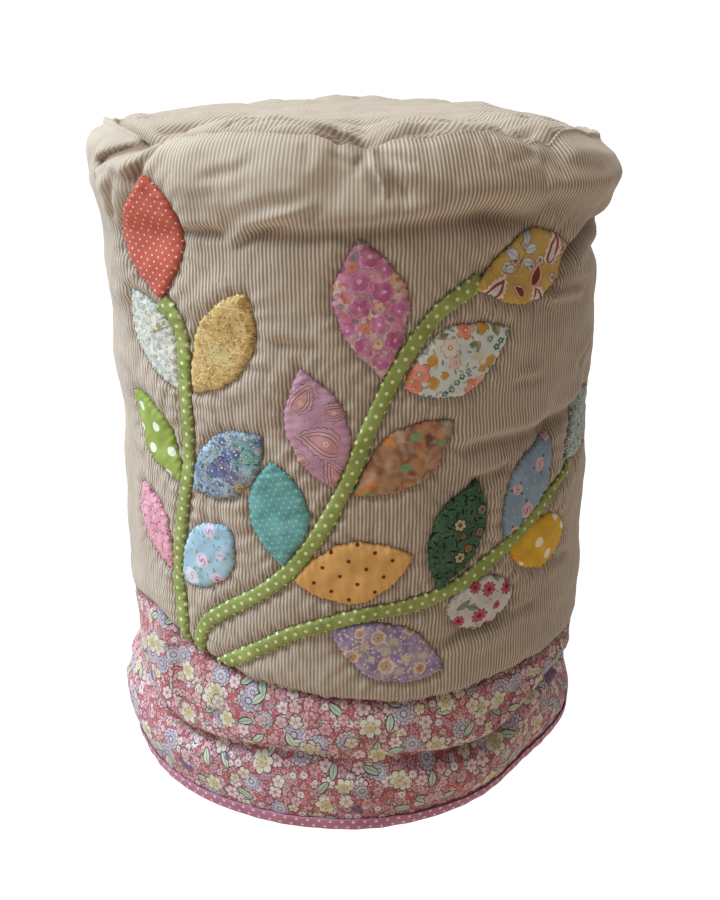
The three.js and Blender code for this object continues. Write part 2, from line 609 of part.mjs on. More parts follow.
function leafGeometry(leaf, lift) {
  const du = leaf.u1 - leaf.u0;
  const dz = leaf.z1 - leaf.z0;
  const length = Math.hypot(du, dz);
  const ru = dz / length; // unit vector to the right of the line from foot to tip
  const rz = -du / length;
  const bend = Math.log(0.5) / Math.log(leaf.widest);
  const sections = LEAF_STATIONS.map((t) => {
    const wide = Math.sin(Math.PI * t ** bend) ** 0.86;
    const at = (side) => clearOfStems([leaf.u0 + du * t + ru * side, leaf.z0 + dz * t + rz * side]);
    return [at(-leaf.left * wide), at(0), at(leaf.right * wide)];
  });
  return strip(
    sections,
    clearOfStems([leaf.u0, leaf.z0]),
    [leaf.u1, leaf.z1],
    LEAF_EDGE,
    LEAF_MIDDLE,
    leaf.lift ?? lift,
  );
}

// ---------------------------------------------------------------- the cover
const LIFT = GAP + 0.1;

const quilted = new THREE.Group();
quilted.add(mesh("body_panel", wallGeometry(), 0xa89a88), mesh("top_panel", topGeometry(), 0xd1c9bd));

const foot = new THREE.Group();
foot.add(mesh("skirt_band", bandGeometry(), 0x947773), mesh("hem_binding", bindingGeometry(), 0xb08f9a));

const applique = new THREE.Group();
STEMS.forEach((stem, i) =>
  applique.add(mesh(stem.name, stemGeometry(stemLines[i], stem.lift ?? LIFT), STEM_COLOR, 0.85)),
);
for (const leaf of LEAVES) applique.add(mesh(leaf.name, leafGeometry(leaf, LIFT), leaf.color, 0.85));

const cover = new THREE.Group();
cover.name = "bottle_cover";
cover.add(quilted, foot, applique);
export default cover;
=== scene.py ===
"""Looks of the padded, quilted cover for an upturned water bottle.

The pieces are built in millimetres from the same tables as the solid model, with the finer
folds, rolls and puckers of the cloth added, and stand in its frame: +Z up, hem on z = 0,
decorated side towards -Y. Azimuths are in degrees from the front, positive towards +X.
"""

import math

import bpy
import numpy as np
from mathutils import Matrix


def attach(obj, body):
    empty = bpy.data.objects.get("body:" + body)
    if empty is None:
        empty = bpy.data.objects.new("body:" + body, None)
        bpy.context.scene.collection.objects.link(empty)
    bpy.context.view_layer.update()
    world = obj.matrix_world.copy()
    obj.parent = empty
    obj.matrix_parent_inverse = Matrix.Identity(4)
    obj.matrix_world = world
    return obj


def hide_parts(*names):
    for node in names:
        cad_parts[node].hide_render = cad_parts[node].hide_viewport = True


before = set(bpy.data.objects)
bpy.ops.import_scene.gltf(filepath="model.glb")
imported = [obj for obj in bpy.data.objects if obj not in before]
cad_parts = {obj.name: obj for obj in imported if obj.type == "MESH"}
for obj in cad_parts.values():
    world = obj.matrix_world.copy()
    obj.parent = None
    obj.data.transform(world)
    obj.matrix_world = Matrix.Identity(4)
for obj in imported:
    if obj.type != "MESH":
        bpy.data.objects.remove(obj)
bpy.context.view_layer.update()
MM = 0.001

# ------------------------------------------------------------------ tables of the cover
WALL = 6.0
BAND = 2.0
TAPE = 1.0
GAP = 0.3
MITRE = 5.0
CEILING = 388.0
RIM_RADIUS = 137.5
BINDING_HEIGHT = 9.0
APPLIQUE_RADIUS = 146.0
STEM_WIDTH = 8.6
CROWN_LEVEL = 391.0
CROWN_MIDDLE = 397.2
STRIPES = 447  # round the cover

# z, front, right, back, left
PROFILE = np.array([
    (70, 146.0, 146.8, 146.0, 146.3),
    (96, 145.8, 148.6, 145.8, 146.3),
    (118, 145.5, 150.0, 145.5, 147.2),
    (147, 145.4, 147.6, 145.3, 147.1),
    (181, 145.3, 148.6, 145.2, 146.6),
    (201, 145.2, 147.0, 145.0, 145.5),
    (227, 145.0, 144.9, 145.1, 144.5),
    (259, 144.8, 147.1, 144.9, 148.3),
    (289, 144.8, 145.2, 144.8, 145.4),
    (313, 145.0, 143.4, 145.0, 144.6),
    (328, 145.6, 137.0, 145.8, 143.0),
    (342, 146.8, 140.9, 147.0, 142.5),
    (354, 148.2, 147.9, 149.0, 145.9),
    (365, 148.6, 153.3, 149.6, 149.5),
    (376, 147.0, 148.0, 147.6, 150.1),
    (386, 144.0, 147.1, 144.6, 149.9),
    (392, 142.0, 142.8, 142.0, 145.8),
])
# azimuth, reach, out, from, full, ease
CORNERS = np.array([
    (-58, 15, 10.5, 262, 330, 374),
    (60, 16, 7, 250, 340, 374),
])
# azimuth, z
FOOT_SEAM = np.array([
    (-180, 90.5),
    (-140, 94.0),
    (-105, 97.5),
    (-77, 101.7),
    (-61, 110.9),
    (-52, 111.7),
    (-44, 104.9),
    (-29, 95.4),
    (-12, 89.7),
    (4, 85.0),
    (18, 83.3),
    (34, 85.5),
    (55, 85.4),
    (78, 82.5),
    (110, 85.5),
    (145, 88.0),
])
# azimuth, z, shoulder
RIM_SEAM = np.array([
    (-180, 392.4, 0.6),
    (-172, 392.6, 0.6),
    (-163, 390.0, 0.6),
    (-153, 389.8, 0.8),
    (-141, 387.4, 1.0),
    (-132, 387.4, 1.4),
    (-120, 382.6, 2.0),
    (-108, 384.4, 2.8),
    (-93, 385.4, 4.0),
    (-78, 386.4, 4.6),
    (-60, 387.6, 3.0),
    (-45, 388.6, 0.8),
    (-33, 391.8, 0.4),
    (-15, 393.5, 0.3),
    (-6, 391.6, 0.3),
    (3, 385.6, 0.3),
    (12, 392.4, 0.3),
    (24, 394.8, 0.3),
    (33, 393.4, 0.4),
    (42, 390.0, 0.8),
    (57, 387.0, 1.8),
    (72, 383.6, 2.6),
    (87, 382.0, 3.2),
    (102, 380.6, 3.0),
    (114, 376.8, 2.2),
    (126, 384.8, 1.8),
    (141, 386.6, 1.2),
    (153, 390.2, 0.8),
    (165, 389.8, 0.6),
])
# azimuth, depth
TOP_NOTCHES = np.array([
    (-163, 3.2),
    (-141, 3.2),
    (-123, 2.2),
    (-117, 4.6),
    (-93, 2.0),
    (-69, 1.4),
    (-45, 2.6),
    (-21, 1.2),
    (3, 3.4),
    (21, 1.2),
    (39, 2.4),
    (63, 1.4),
    (87, 1.6),
    (111, 1.8),
    (141, 2.4),
    (165, 2.4),
])
# share, rise, level, notch
CROWN = np.array([
    (1.0, 0.2, 0, 0),
    (0.97, 3.6, 0.02, 0.8),
    (0.91, 5.4, 0.14, 1),
    (0.8, 5.4, 0.5, 0.7),
    (0.56, 5.8, 1, 0.3),
    (0.28, 6.0, 1, 0),
])
# a0, z0, a1, z1, reach, depth
FOLDS = [
    (3, 347, 27, 353, 9, 1.6),  # under_roll_a
    (27, 353, 62, 343, 10, 3.2),  # under_roll_b
    (62, 341, 50, 325, 9, 2.2),  # under_roll_c
    (-60, 334, -26, 346, 10, 1.7),  # left_roll_a
    (-21, 343, -8, 356, 9, 0.9),  # left_roll_b
    (-46, 389, -66, 373, 8, 3.0),  # left_pinch_up
    (-47, 388, -50, 368, 8, 2.0),  # left_pinch_down
    (3, 390, -4, 370, 8, 1.6),  # front_pinch_left
    (3, 390, 9, 368, 8, 1.6),  # front_pinch_right
    (39, 391, 44, 377, 8, 1.4),  # right_pinch
    (-33, 372, -12, 374, 14, -1.8),  # shoulder_ridge
    (14, 374, 34, 375, 13, -2.2),  # shoulder_ridge_right
    (42, 300, 66, 304, 11, 1.8),  # waist_right
    (19, 207, 50, 236, 11, 1.6),  # elbow_right
    (50, 236, 68, 245, 11, 2.0),  # elbow_right_out
    (8, 120, 48, 126, 12, 1.4),  # foot_right
    (120, 346, 172, 350, 10, 1.8),  # back_roll
    (-170, 348, -118, 342, 10, 1.8),  # back_roll_left
    (112, 236, 150, 224, 12, 1.4),  # back_waist
    (-146, 190, -112, 206, 12, 1.4),  # back_waist_left
]
BAND_AZIMUTHS = [-180, -130, -100, -80, -50, -20, 5, 30, 52, 66, 80, 97, 130]
BAND_RADII = [  # z, radii at those azimuths
    (0, [145.5, 147.0, 148.4, 147.6, 150.4, 148.6, 147.0, 141.4, 134.8, 139.4, 146.0, 147.4, 146.5]),
    (9, [147.0, 148.6, 150.6, 150.8, 152.4, 150.4, 148.8, 144.6, 137.4, 141.8, 147.4, 148.6, 147.6]),
    (20, [149.0, 150.6, 153.6, 155.6, 154.4, 151.0, 150.0, 148.6, 140.8, 144.4, 148.4, 149.0, 149.4]),
    (31, [149.4, 150.8, 153.0, 156.4, 154.0, 150.0, 149.4, 148.2, 142.4, 142.2, 141.4, 144.8, 149.4]),
    (43, [147.6, 148.6, 150.4, 152.6, 149.4, 145.8, 145.8, 144.2, 142.0, 136.4, 129.8, 133.6, 146.0]),
    (54, [147.4, 147.8, 147.4, 146.2, 148.6, 147.6, 147.6, 147.0, 144.6, 142.6, 140.8, 143.0, 146.0]),
    (66, [147.8, 147.6, 147.0, 145.2, 149.4, 149.4, 149.2, 148.6, 146.6, 146.2, 145.4, 146.0, 147.2]),
    (78, [146.8, 146.6, 146.4, 145.2, 148.6, 148.4, 147.8, 147.4, 147.6, 147.2, 146.0, 146.8, 147.0]),
    (96, [146.0, 146.0, 146.2, 146.3, 147.4, 146.6, 146.2, 146.2, 146.6, 147.4, 148.4, 148.0, 146.4]),
    (116, [146.0, 146.0, 146.6, 147.0, 146.6, 145.8, 145.6, 145.8, 147.0, 148.0, 149.4, 149.0, 146.4]),
]
# name, u0, z0, u1, z1, left, right, widest
LEAVES = [
    ("leaf_coral", -106.2, 308.8, -110.0, 371.3, 20.4, 17.2, 0.56),
    ("leaf_pale_blue", -99.8, 258.1, -129.6, 309.9, 18.4, 14.4, 0.56),
    ("leaf_gold", -89.5, 260.3, -54.5, 315.8, 14.8, 18.6, 0.52),
    ("leaf_green_dot", -103.1, 204.3, -145.6, 249.6, 15.4, 15.2, 0.55),
    ("leaf_blue_purple", -94.5, 204.2, -48.8, 241.1, 15.6, 18.2, 0.5),
    ("leaf_pink_line", -115.2, 145.5, -147.0, 192.6, 13.4, 15.2, 0.55),
    ("leaf_sky_rose", -106.1, 143.9, -70.4, 185.2, 15.6, 17.4, 0.54),
    ("leaf_teal_dot", -38.5, 167.8, -43.7, 228.2, 16.6, 18.2, 0.52),
    ("leaf_paisley", -9.6, 215.4, -26.6, 279.3, 17.2, 16.8, 0.5),
    ("leaf_magenta", 16.2, 273.6, 3.4, 344.5, 18.4, 19.2, 0.55),
    ("leaf_mustard", 63.5, 317.9, 132.0, 331.6, 18.8, 18.8, 0.54),
    ("leaf_white_floral", 26.6, 269.4, 86.2, 295.2, 17.8, 18.8, 0.48),
    ("leaf_amber", -0.3, 211.2, 53.5, 250.0, 15.4, 16.8, 0.54),
    ("leaf_orange_dot", -32.5, 160.7, 32.9, 174.6, 16.8, 19.4, 0.5),
    ("leaf_purple", -12.2, 131.2, 52.0, 102.7, 17.2, 17.6, 0.5),
    ("leaf_dark_green", 47.3, 152.7, 71.5, 213.0, 17.8, 15.6, 0.52),
    ("leaf_pink_white", 53.1, 139.1, 98.6, 138.8, 16.4, 17.2, 0.5),
    ("leaf_blue_rose", 89.4, 175.4, 128.0, 228.8, 17.2, 15.8, 0.5),
    ("leaf_yellow_dot", 92.5, 169.6, 147.0, 161.8, 14.8, 18.6, 0.54),
    ("leaf_teal_speckle", 144.4, 206.8, 193.0, 238.6, 16.4, 17.6, 0.52),
]
STEMS = [
    ("stem_left", [(-42.6, 306.8), (-38.7, 296.6), (-37.6, 270), (-37.7, 246.9), (-38.2, 220), (-40.3, 193), (-43.1, 158), (-43.7, 142.1), (-43.0, 126), (-42.4, 106.4)]),
    ("stem_middle", [(23.8, 318), (16.8, 306.2), (9.2, 279.2), (3.5, 248.5), (-0.9, 219.4), (-7.4, 187.5), (-16.1, 159), (-28.9, 134.8), (-35.0, 122), (-37.0, 112.2), (-37.2, 103.2)]),
    ("stem_right", [(-30.6, 99.2), (-24.7, 109), (-11.8, 129), (1.7, 140.7), (16, 147), (25.3, 155.9), (34, 168), (47.7, 187.3), (59.1, 202)]),
]

# ------------------------------------------------------------------ small helpers
def ease(t):
    t = np.clip(t, 0.0, 1.0)
    return t * t * (3 - 2 * t)


def mix(a, b, t):
    return a + (b - a) * t


def turn(a):
    return np.mod(np.asarray(a, float) + 180.0, 360.0) - 180.0


def hermite(xs, rows, x):
    """Soft curve through (xs, rows); rows holds one number, or one array like x, per xs."""
    n = len(xs)
    slopes = [
        (rows[min(k + 1, n - 1)] - rows[max(k - 1, 0)]) / (xs[min(k + 1, n - 1)] - xs[max(k - 1, 0)])
        for k in range(n)
    ]
    x = np.clip(x, xs[0], xs[-1])
    out = np.zeros_like(x, dtype=float)
    for i in range(n - 1):
        h = xs[i + 1] - xs[i]
        inside = (x >= xs[i]) & (x <= xs[i + 1]) if i == n - 2 else (x >= xs[i]) & (x < xs[i + 1])
        t = (x - xs[i]) / h
        t2, t3 = t * t, t * t * t
        value = (
            (2 * t3 - 3 * t2 + 1) * rows[i]
            + (t3 - 2 * t2 + t) * h * slopes[i]
            + (3 * t2 - 2 * t3) * rows[i + 1]
            + (t3 - t2) * h * slopes[i + 1]
        )
        out = np.where(inside, value, out)
    return out


def curve(xs, ys, x, period=0.0):
    xs, ys = np.asarray(xs, float), np.asarray(ys, float)
    x = np.asarray(x, float)
    if period:
        x = xs[0] + np.mod(x - xs[0], period)
        xs = np.concatenate([xs[-2:] - period, xs, xs[:2] + period])
        ys = np.concatenate([ys[-2:], ys, ys[:2]])
    return hermite(xs, ys, x)


def waves(x, y, length, seed, count=9, spread=0.35):
    """Soft uneven ripples of about that wave length, from -1 to 1."""
    rng = np.random.default_rng(seed)
    total = np.zeros(np.broadcast(x, y).shape)
    for _ in range(count):
        direction = rng.uniform(0, 2 * math.pi)
        k = 2 * math.pi / (length * (1 + spread * rng.uniform(-1, 1)))
        total = total + np.sin(k * (x * math.cos(direction) + y * math.sin(direction)) + rng.uniform(0, 6.283))
    return total / math.sqrt(count) / 1.4


def round_waves(a, z, length, seed, count=9, spread=0.35, stretch=1.0):
    """The same on the wall: it closes on itself at the back. stretch over 1 makes it longer along z."""
    rng = np.random.default_rng(seed)
    total = np.zeros(np.broadcast(a, z).shape)
    circle = 2 * math.pi * APPLIQUE_RADIUS
    for _ in range(count):
        direction = rng.uniform(0, 2 * math.pi)
        k = 2 * math.pi / (length * (1 + spread * rng.uniform(-1, 1)))
        turns = round(k * math.cos(direction) * circle / (2 * math.pi))
        total = total + np.sin(np.radians(a) * turns + k * math.sin(direction) * z / stretch + rng.uniform(0, 6.283))
    return total / math.sqrt(count) / 1.4


def place(r, a, z):
    a = np.radians(a)
    return np.stack([r * np.sin(a), -r * np.cos(a), z * np.ones_like(a)], axis=-1)


# ------------------------------------------------------------------ seams, wall, folds
def foot_seam(a):
    return curve(FOOT_SEAM[:, 0], FOOT_SEAM[:, 1], turn(a), 360.0)


def rim_seam(a):
    return curve(RIM_SEAM[:, 0], RIM_SEAM[:, 1], turn(a), 360.0)


def shoulder(a):
    return curve(RIM_SEAM[:, 0], RIM_SEAM[:, 2], turn(a), 360.0)


def wall_profile(a, z):
    a, z = np.broadcast_arrays(np.asarray(a, float), np.asarray(z, float))
    c, s = np.cos(np.radians(a)), np.sin(np.radians(a))
    front, right, back, left = (curve(PROFILE[:, 0], PROFILE[:, k], z) for k in (1, 2, 3, 4))
    r = c * c * np.where(c > 0, front, back) + s * s * np.where(s > 0, right, left)
    for azimuth, reach, out, start, full, late in CORNERS:
        r = r + out * ease((z - start) / (full - start)) * (1 - 0.45 * ease((z - late) / 14)) * np.exp(
            -((turn(a - azimuth) / reach) ** 2)
        )
    return r


def wall_folds(a, z):
    total = np.zeros(np.broadcast(a, z).shape)
    for a0, z0, a1, z1, reach, depth in FOLDS:
        u = np.radians(turn(a - a0)) * APPLIQUE_RADIUS
        du = math.radians(float(turn(a1 - a0))) * APPLIQUE_RADIUS
        dz = z1 - z0
        t = np.clip((u * du + (z - z0) * dz) / (du * du + dz * dz), 0, 1)
        d2 = (u - t * du) ** 2 + (z - z0 - t * dz) ** 2
        total = total - depth * np.exp(-d2 / (reach * reach))
    return total


def nearest(a, z, points):
    """Distance in mm from a line of (azimuth, z) points on the wall, which side of it (positive
    on the left of the direction of travel), and the share of the way along it."""
    a, z = np.broadcast_arrays(np.asarray(a, float), np.asarray(z, float))
    best = np.full(a.shape, 1e9)
    side = np.zeros(a.shape)
    share = np.zeros(a.shape)
    k = math.pi * APPLIQUE_RADIUS / 180.0
    spans = [math.hypot((p[0] - q[0]) * k, p[1] - q[1]) for p, q in zip(points[1:], points[:-1])]
    whole, done = sum(spans), 0.0
    for (a0, z0), (a1, z1), span in zip(points[:-1], points[1:], spans):
        u, w = turn(a - a0) * k, z - z0
        du, dz = (a1 - a0) * k, z1 - z0
        t = np.clip((u * du + w * dz) / (span * span), 0, 1)
        ou, oz = u - t * du, w - t * dz
        d = np.hypot(ou, oz)
        closer = d < best
        best = np.where(closer, d, best)
        side = np.where(closer, np.sign(du * w - dz * u), side)
        share = np.where(closer, (done + t * span) / whole, share)
        done += span
    return best, side, share


def crease(a, z, points, width, depth, lip=0.0, lip_at=6.0, lip_width=5.0, low_lip=0.0, fade=0.25):
    """A trough along a line, with a rounded lip on its left side and a smaller one on its right."""
    d, side, share = nearest(a, z, points)
    hold = ease(share / fade) * ease((1 - share) / fade) if fade > 0 else 1.0
    signed = d * np.where(side == 0, 1, side)
    r = -depth * np.exp(-((d / width) ** 2))
    r = r + lip * np.exp(-(((signed - lip_at) / lip_width) ** 2))
    r = r + low_lip * np.exp(-(((signed + lip_at) / lip_width) ** 2))
    return r * np.maximum(hold, 0.0) * np.where(d < 40, 1, 0)


# ------------------------------------------------------------------ the folds of the padded wall
# line of (azimuth, z), then width, depth, lip on the upper side, how far off, its width, lower lip
WALL_CREASES = [
    # the roll of cloth round the shoulder, and the shadow line under it
    ([(-24, 345.0), (-17, 346.8), (-9.7, 346.8), (2.6, 348), (9, 350.1), (17.7, 352.2), (25.5, 352.7), (34, 350.5), (43, 347)], 4.2, 2.7, 2.5, 8.5, 7, 0.3, 0.12),
    ([(10, 357), (16.4, 358.7), (22.4, 360.4), (31.3, 359.8), (42, 357), (52, 352)], 5.0, 1.5, 1.2, 9, 7, 0, 0.3),
    ([(2, 368.6), (8.9, 367.8), (14.3, 366.0), (20, 364)], 4.5, 1.0, 0.9, 8, 6, 0, 0.3),
    # left: wrinkles beside the tall leaf, and the shelf that runs up from them
    ([(-36.5, 344.3), (-32, 344.6), (-28.6, 345.6), (-24.5, 344.2)], 3.0, 2.4, 1.5, 5, 4, 0.8, 0.2),
    ([(-24.2, 333), (-22.6, 339.6), (-19.6, 344.6), (-14.8, 350), (-8.8, 355.6), (-3.8, 360.2)], 2.8, 1.8, 1.6, 4.2, 3.4, 0, 0.22),
    ([(-26.5, 350.6), (-21.2, 356.2), (-16.2, 360.8), (-12.4, 362.6), (-6, 363.5)], 3.2, 1.1, 0.9, 5, 4, 0, 0.3),
    ([(-31, 370.2), (-27.3, 372.5), (-24.4, 374.6), (-21.6, 376.3), (-19.3, 380.1), (-17.5, 382.8)], 3.0, 1.0, 0.8, 4.5, 3.5, 0.3, 0.25),
    ([(-34, 361), (-29, 363), (-25, 366)], 3.0, 0.7, 0.5, 4.5, 3.5, 0, 0.3),
    # left corner: two deep creases out from the pinch, and the folds over the leaf's tip
    ([(-47.4, 385), (-49.1, 383.6), (-51.6, 381.4), (-54.3, 378.2), (-58.1, 372.8)], 2.4, 6.4, 2.2, 6.5, 4.2, 2.0, 0.08),
    ([(-51.6, 375.6), (-54.3, 370.6), (-58.4, 364.7)], 3.4, 2.2, 1.0, 6, 4, 0.8, 0.3),
    ([(-42.6, 388), (-42.8, 381.1), (-43.9, 377.4), (-45.0, 373.0), (-47.0, 364.5)], 3.2, 3.8, 0.8, 7, 4, 1.8, 0.16),
    ([(-51.0, 372), (-52.4, 362), (-53.6, 352), (-55.4, 342)], 2.2, 2.0, 0.3, 5, 3, 0.8, 0.3),
    # front pinch at the rim: two short gathers and the ridge that runs down from it
    ([(2.8, 387.0), (4.2, 379.1), (5.4, 373.5), (6.7, 365)], 1.7, -2.2, -0.9, 3.6, 2.2, -0.9, 0.12),
    ([(-4.6, 385.6), (-3.4, 383.6), (-1.6, 381.2), (0.6, 379.6), (2.2, 380.4)], 1.7, 1.0, 0.4, 3.6, 2.6, 0.2, 0.25),
    ([(2.0, 384.0), (1.2, 379.5), (0.2, 374)], 1.9, 1.0, 0.5, 3.6, 2.6, 0.2, 0.2),
    ([(3.6, 385.5), (6.6, 379), (8.8, 371), (10.4, 362)], 2.2, 1.1, 0.5, 4.4, 3, 0.2, 0.12),
    ([(3.4, 385.5), (8.0, 382.5), (12.6, 379.5)], 2.0, 1.0, 0.4, 4, 3, 0.2, 0.15),
    ([(-9, 391), (-8.2, 384), (-8.4, 376)], 3.0, 0.8, 0.4, 5, 4, 0, 0.3),
    # right corner of the rim
    ([(26.6, 392.5), (27.4, 386), (28.8, 380)], 2.6, 1.4, 0.6, 5, 3.5, 0.6, 0.3),
    ([(31, 392), (35.6, 387.2), (39.6, 382.6), (42.6, 378)], 2.6, -1.6, -0.8, 4.6, 3, -0.8, 0.25),
    ([(39.4, 385), (41.5, 381.9), (45.0, 377.4), (50, 373.4), (58, 369.5)], 3.0, 0.8, 0.3, 6, 4, 0.1, 0.1),
    ([(39.6, 384), (40.2, 377), (39.6, 371), (38.0, 364)], 2.6, 0.9, 0.4, 5, 4, 0.2, 0.1),
    ([(40, 384), (37, 381), (33.5, 379.6), (30, 380)], 2.4, 0.9, 0.5, 4.4, 3.4, 0, 0.12),
    ([(40.2, 383.6), (42.4, 376), (44.6, 368.5)], 2.2, 0.6, 0.2, 4, 3, 0.1, 0.1),
    # right: the deep pinch beside the yellow leaf and the ridges under it
    ([(50.4, 322), (52.2, 327.6), (55.4, 332.6), (60.6, 335.9), (67.5, 339.5), (76, 342)], 3.4, 4.6, 1.6, 7, 5, 2.6, 0.16),
    ([(39.6, 305.0), (44.5, 307.3), (52, 305.8), (60.5, 303.4)], 2.6, -1.5, -1.3, 4.6, 3.2, -0.3, 0.25),
    ([(33.4, 267.2), (38.8, 268.8), (46, 267.6)], 2.6, -1.1, -0.3, 4.6, 3, -0.9, 0.3),
    # right middle: the cloth hangs over in a long slack fold
    ([(19.5, 231.4), (25.3, 233), (31, 234), (37.5, 233.1), (44, 232.4), (51.5, 232.9), (58, 234.4), (63.8, 237.6), (71, 243)], 4.6, 2.8, 2.4, 9, 7.5, 0.4, 0.15),
    ([(24, 212.4), (28.9, 214.4), (33.5, 216.0), (37.8, 219.4)], 2.8, 1.8, 1.3, 5, 4, 0, 0.25),
    ([(58, 259), (62, 262.5), (66, 267), (73, 271)], 4.0, 1.8, 1.4, 7, 5, 0, 0.3),
    ([(46.5, 190.4), (50, 192.4), (54, 194.0), (59, 194.6)], 2.8, 1.4, 1.0, 5, 4, 0.3, 0.3),
    ([(50, 147.2), (55, 145.4), (62, 142.6)], 3.2, 1.2, 0.6, 6, 4, 0.8, 0.3),
    ([(37.6, 124.8), (42, 125.4), (47.5, 125.6)], 3.0, 1.0, 0.5, 5, 4, 0.8, 0.3),
    ([(15, 113), (22, 119), (26.9, 123.4), (33, 125.4), (41, 125)], 5.0, 1.5, 0.6, 9, 6, 1.6, 0.3),
    # left middle, beside the leaves
    ([(-19.5, 290.2), (-14, 291.6), (-8, 291), (-3, 290)], 2.8, 1.1, 0.9, 5, 4, 0, 0.3),
    ([(-23.5, 276), (-19, 277.6), (-15, 277.4)], 2.6, 0.8, 0.6, 4.5, 3.5, 0, 0.3),
    ([(-31, 262), (-26, 259), (-22, 257.5)], 2.8, 0.8, 0.6, 5, 4, 0, 0.3),
    ([(-66, 300), (-58, 297), (-52, 296)], 4.0, 1.2, 0.8, 7, 5, 0, 0.3),
    ([(-68, 262), (-61, 258), (-55, 257)], 3.6, 1.0, 0.7, 6, 5, 0, 0.3),
    ([(-66, 214), (-60, 209), (-52, 207)], 3.6, 0.9, 0.6, 6, 5, 0, 0.3),
    # the plain back, which hangs in the same slack way
    ([(106, 352), (122, 349), (140, 350), (158, 354), (174, 352), (190, 348), (206, 346), (222, 350), (240, 347)], 6.0, 3.0, 2.4, 11, 9, 0, 0.12),
    ([(100, 300), (112, 292), (126, 290)], 5.0, 2.0, 1.6, 9, 7, 0, 0.3),
    ([(150, 236), (165, 230), (180, 232), (196, 240)], 5.0, 2.0, 1.8, 9, 7, 0, 0.25),
    ([(214, 180), (228, 190), (244, 192)], 5.0, 1.8, 1.4, 9, 7, 0, 0.3),
    ([(120, 150), (138, 142), (156, 146)], 5.0, 1.6, 1.2, 9, 7, 0, 0.3),
    ([(226, 290), (238, 284), (252, 287)], 5.0, 1.6, 1.2, 9, 7, 0, 0.3),
    ([(141, 389), (142, 380), (146, 370)], 3.4, 2.4, 1.0, 7, 4, 1.0, 0.2),
    ([(165, 391), (163, 382), (160, 374)], 3.4, 2.2, 1.0, 7, 4, 1.0, 0.2),
    ([(197, 391), (199, 382), (204, 373)], 3.4, 2.2, 1.0, 7, 4, 1.0, 0.2),
    ([(237, 386), (238, 377), (243, 368)], 3.4, 2.4, 1.0, 7, 4, 1.0, 0.2),
    ([(87, 384), (89, 374), (93, 366)], 3.4, 2.0, 1.0, 7, 4, 1.0, 0.2),
    ([(-93, 387), (-91, 377), (-86, 369)], 3.4, 2.2, 1.0, 7, 4, 1.0, 0.2),
]
BAND_CREASES = [
    ([(-62, 58), (-54, 50.4), (-47, 44.4), (-41, 42.4), (-34.4, 44.2), (-29.2, 46), (-24.3, 47.4), (-18.7, 49.2), (-13, 50), (-5, 50.6), (4, 50)], 4.0, 3.0, 2.2, 8, 6, 1.4, 0.16),
    ([(4, 49.5), (10.6, 47.6), (17.9, 44.6), (23, 42.6), (28.5, 42), (34.7, 43.2), (39.9, 47.3), (44.2, 52.8), (47.8, 58.5), (53, 63), (62, 66), (74, 64)], 4.6, 3.8, 2.4, 9, 6.5, 2.6, 0.12),
    ([(-51.4, 106), (-48.8, 97), (-47.9, 86.8), (-47.1, 76.3), (-45, 64.4), (-43.4, 52)], 3.4, -2.4, -1.6, 7, 4, -1.6, 0.22),
    ([(-59, 96), (-57, 84), (-56, 72)], 4.0, 1.4, 0.6, 7, 5, 0.6, 0.3),
    ([(-33, 84), (-30, 74), (-31, 62)], 4.0, 1.0, 0.6, 7, 5, 0.6, 0.3),
    ([(-8, 28), (2, 26.4), (12, 27)], 3.4, 1.4, 1.0, 6, 4, 0, 0.3),
    ([(22, 28.5), (30, 33), (36, 40)], 3.6, 2.0, 1.4, 7, 4, 0.6, 0.3),
    ([(28, 62), (35, 66), (41, 73), (46, 80)], 4.0, 1.6, 1.0, 7, 5, 0, 0.3),
    ([(58, 52), (66, 47), (78, 44), (92, 45), (104, 48)], 4.0, 3.0, 1.6, 8, 5, 2.4, 0.2),
    ([(-74, 40), (-86, 36), (-100, 38), (-116, 42)], 5.0, 2.6, 1.6, 9, 6, 1.6, 0.25),
    ([(118, 44), (132, 40), (150, 43), (168, 40), (186, 43)], 5.0, 2.6, 1.6, 9, 6, 1.6, 0.2),
    ([(200, 52), (214, 46), (228, 44)], 5.0, 2.2, 1.4, 9, 6, 1.4, 0.25),
    ([(128, 84), (131, 70), (130, 56)], 4.0, -1.8, -1.0, 7, 4, -1.0, 0.25),
    ([(176, 86), (174, 72), (176, 58)], 4.0, -1.8, -1.0, 7, 4, -1.0, 0.25),
    ([(-128, 90), (-125, 74), (-126, 60)], 4.0, -1.8, -1.0, 7, 4, -1.0, 0.25),
]


def add_creases(a, z, lines):
    total = np.zeros(np.broadcast(a, z).shape)
    for points, width, depth, lip, lip_at, lip_width, low_lip, fade in lines:
        total = total + crease(a, z, points, width, depth, lip, lip_at, lip_width, low_lip, fade)
    return total


# azimuth, z: how the padded rim lies against the seam drawn in the table
RIM_LIE = np.array(
    [
        (-98, 0), (-84, 1.6), (-74, 3.0), (-66, 2.4), (-60, 0.6), (-55.5, -0.9), (-51.5, -3.4), (-48, -6.6), (-45, -4.6), (-39.5, -2.6), (-36, -3.0), (-33.5, -2.3), (-30, -1.4), (-21, -1.1),
        (-16.5, -1.4), (-11.5, -1.5), (-8, -1.7), (-6, -2.1), (-4.4, -1.8), (-2.8, -1.8), (-1, 0.9), (1, 0.1), (3, -1.0), (4.5, 0.3),
        (7, -0.2), (9.5, -2.7), (12.5, -3.6), (16.5, -3.3), (19.5, -2.5), (25, -2.3), (29, -2.4), (32, -3.2), (34.5, -4.0), (38.5, -5.0),
        (41.5, -1.2), (46, 0), (180, 0),
    ]
)


def foot_line(a):
    return foot_seam(a) + 0.45 * round_waves(a, np.zeros_like(a), 17, 31, 5)


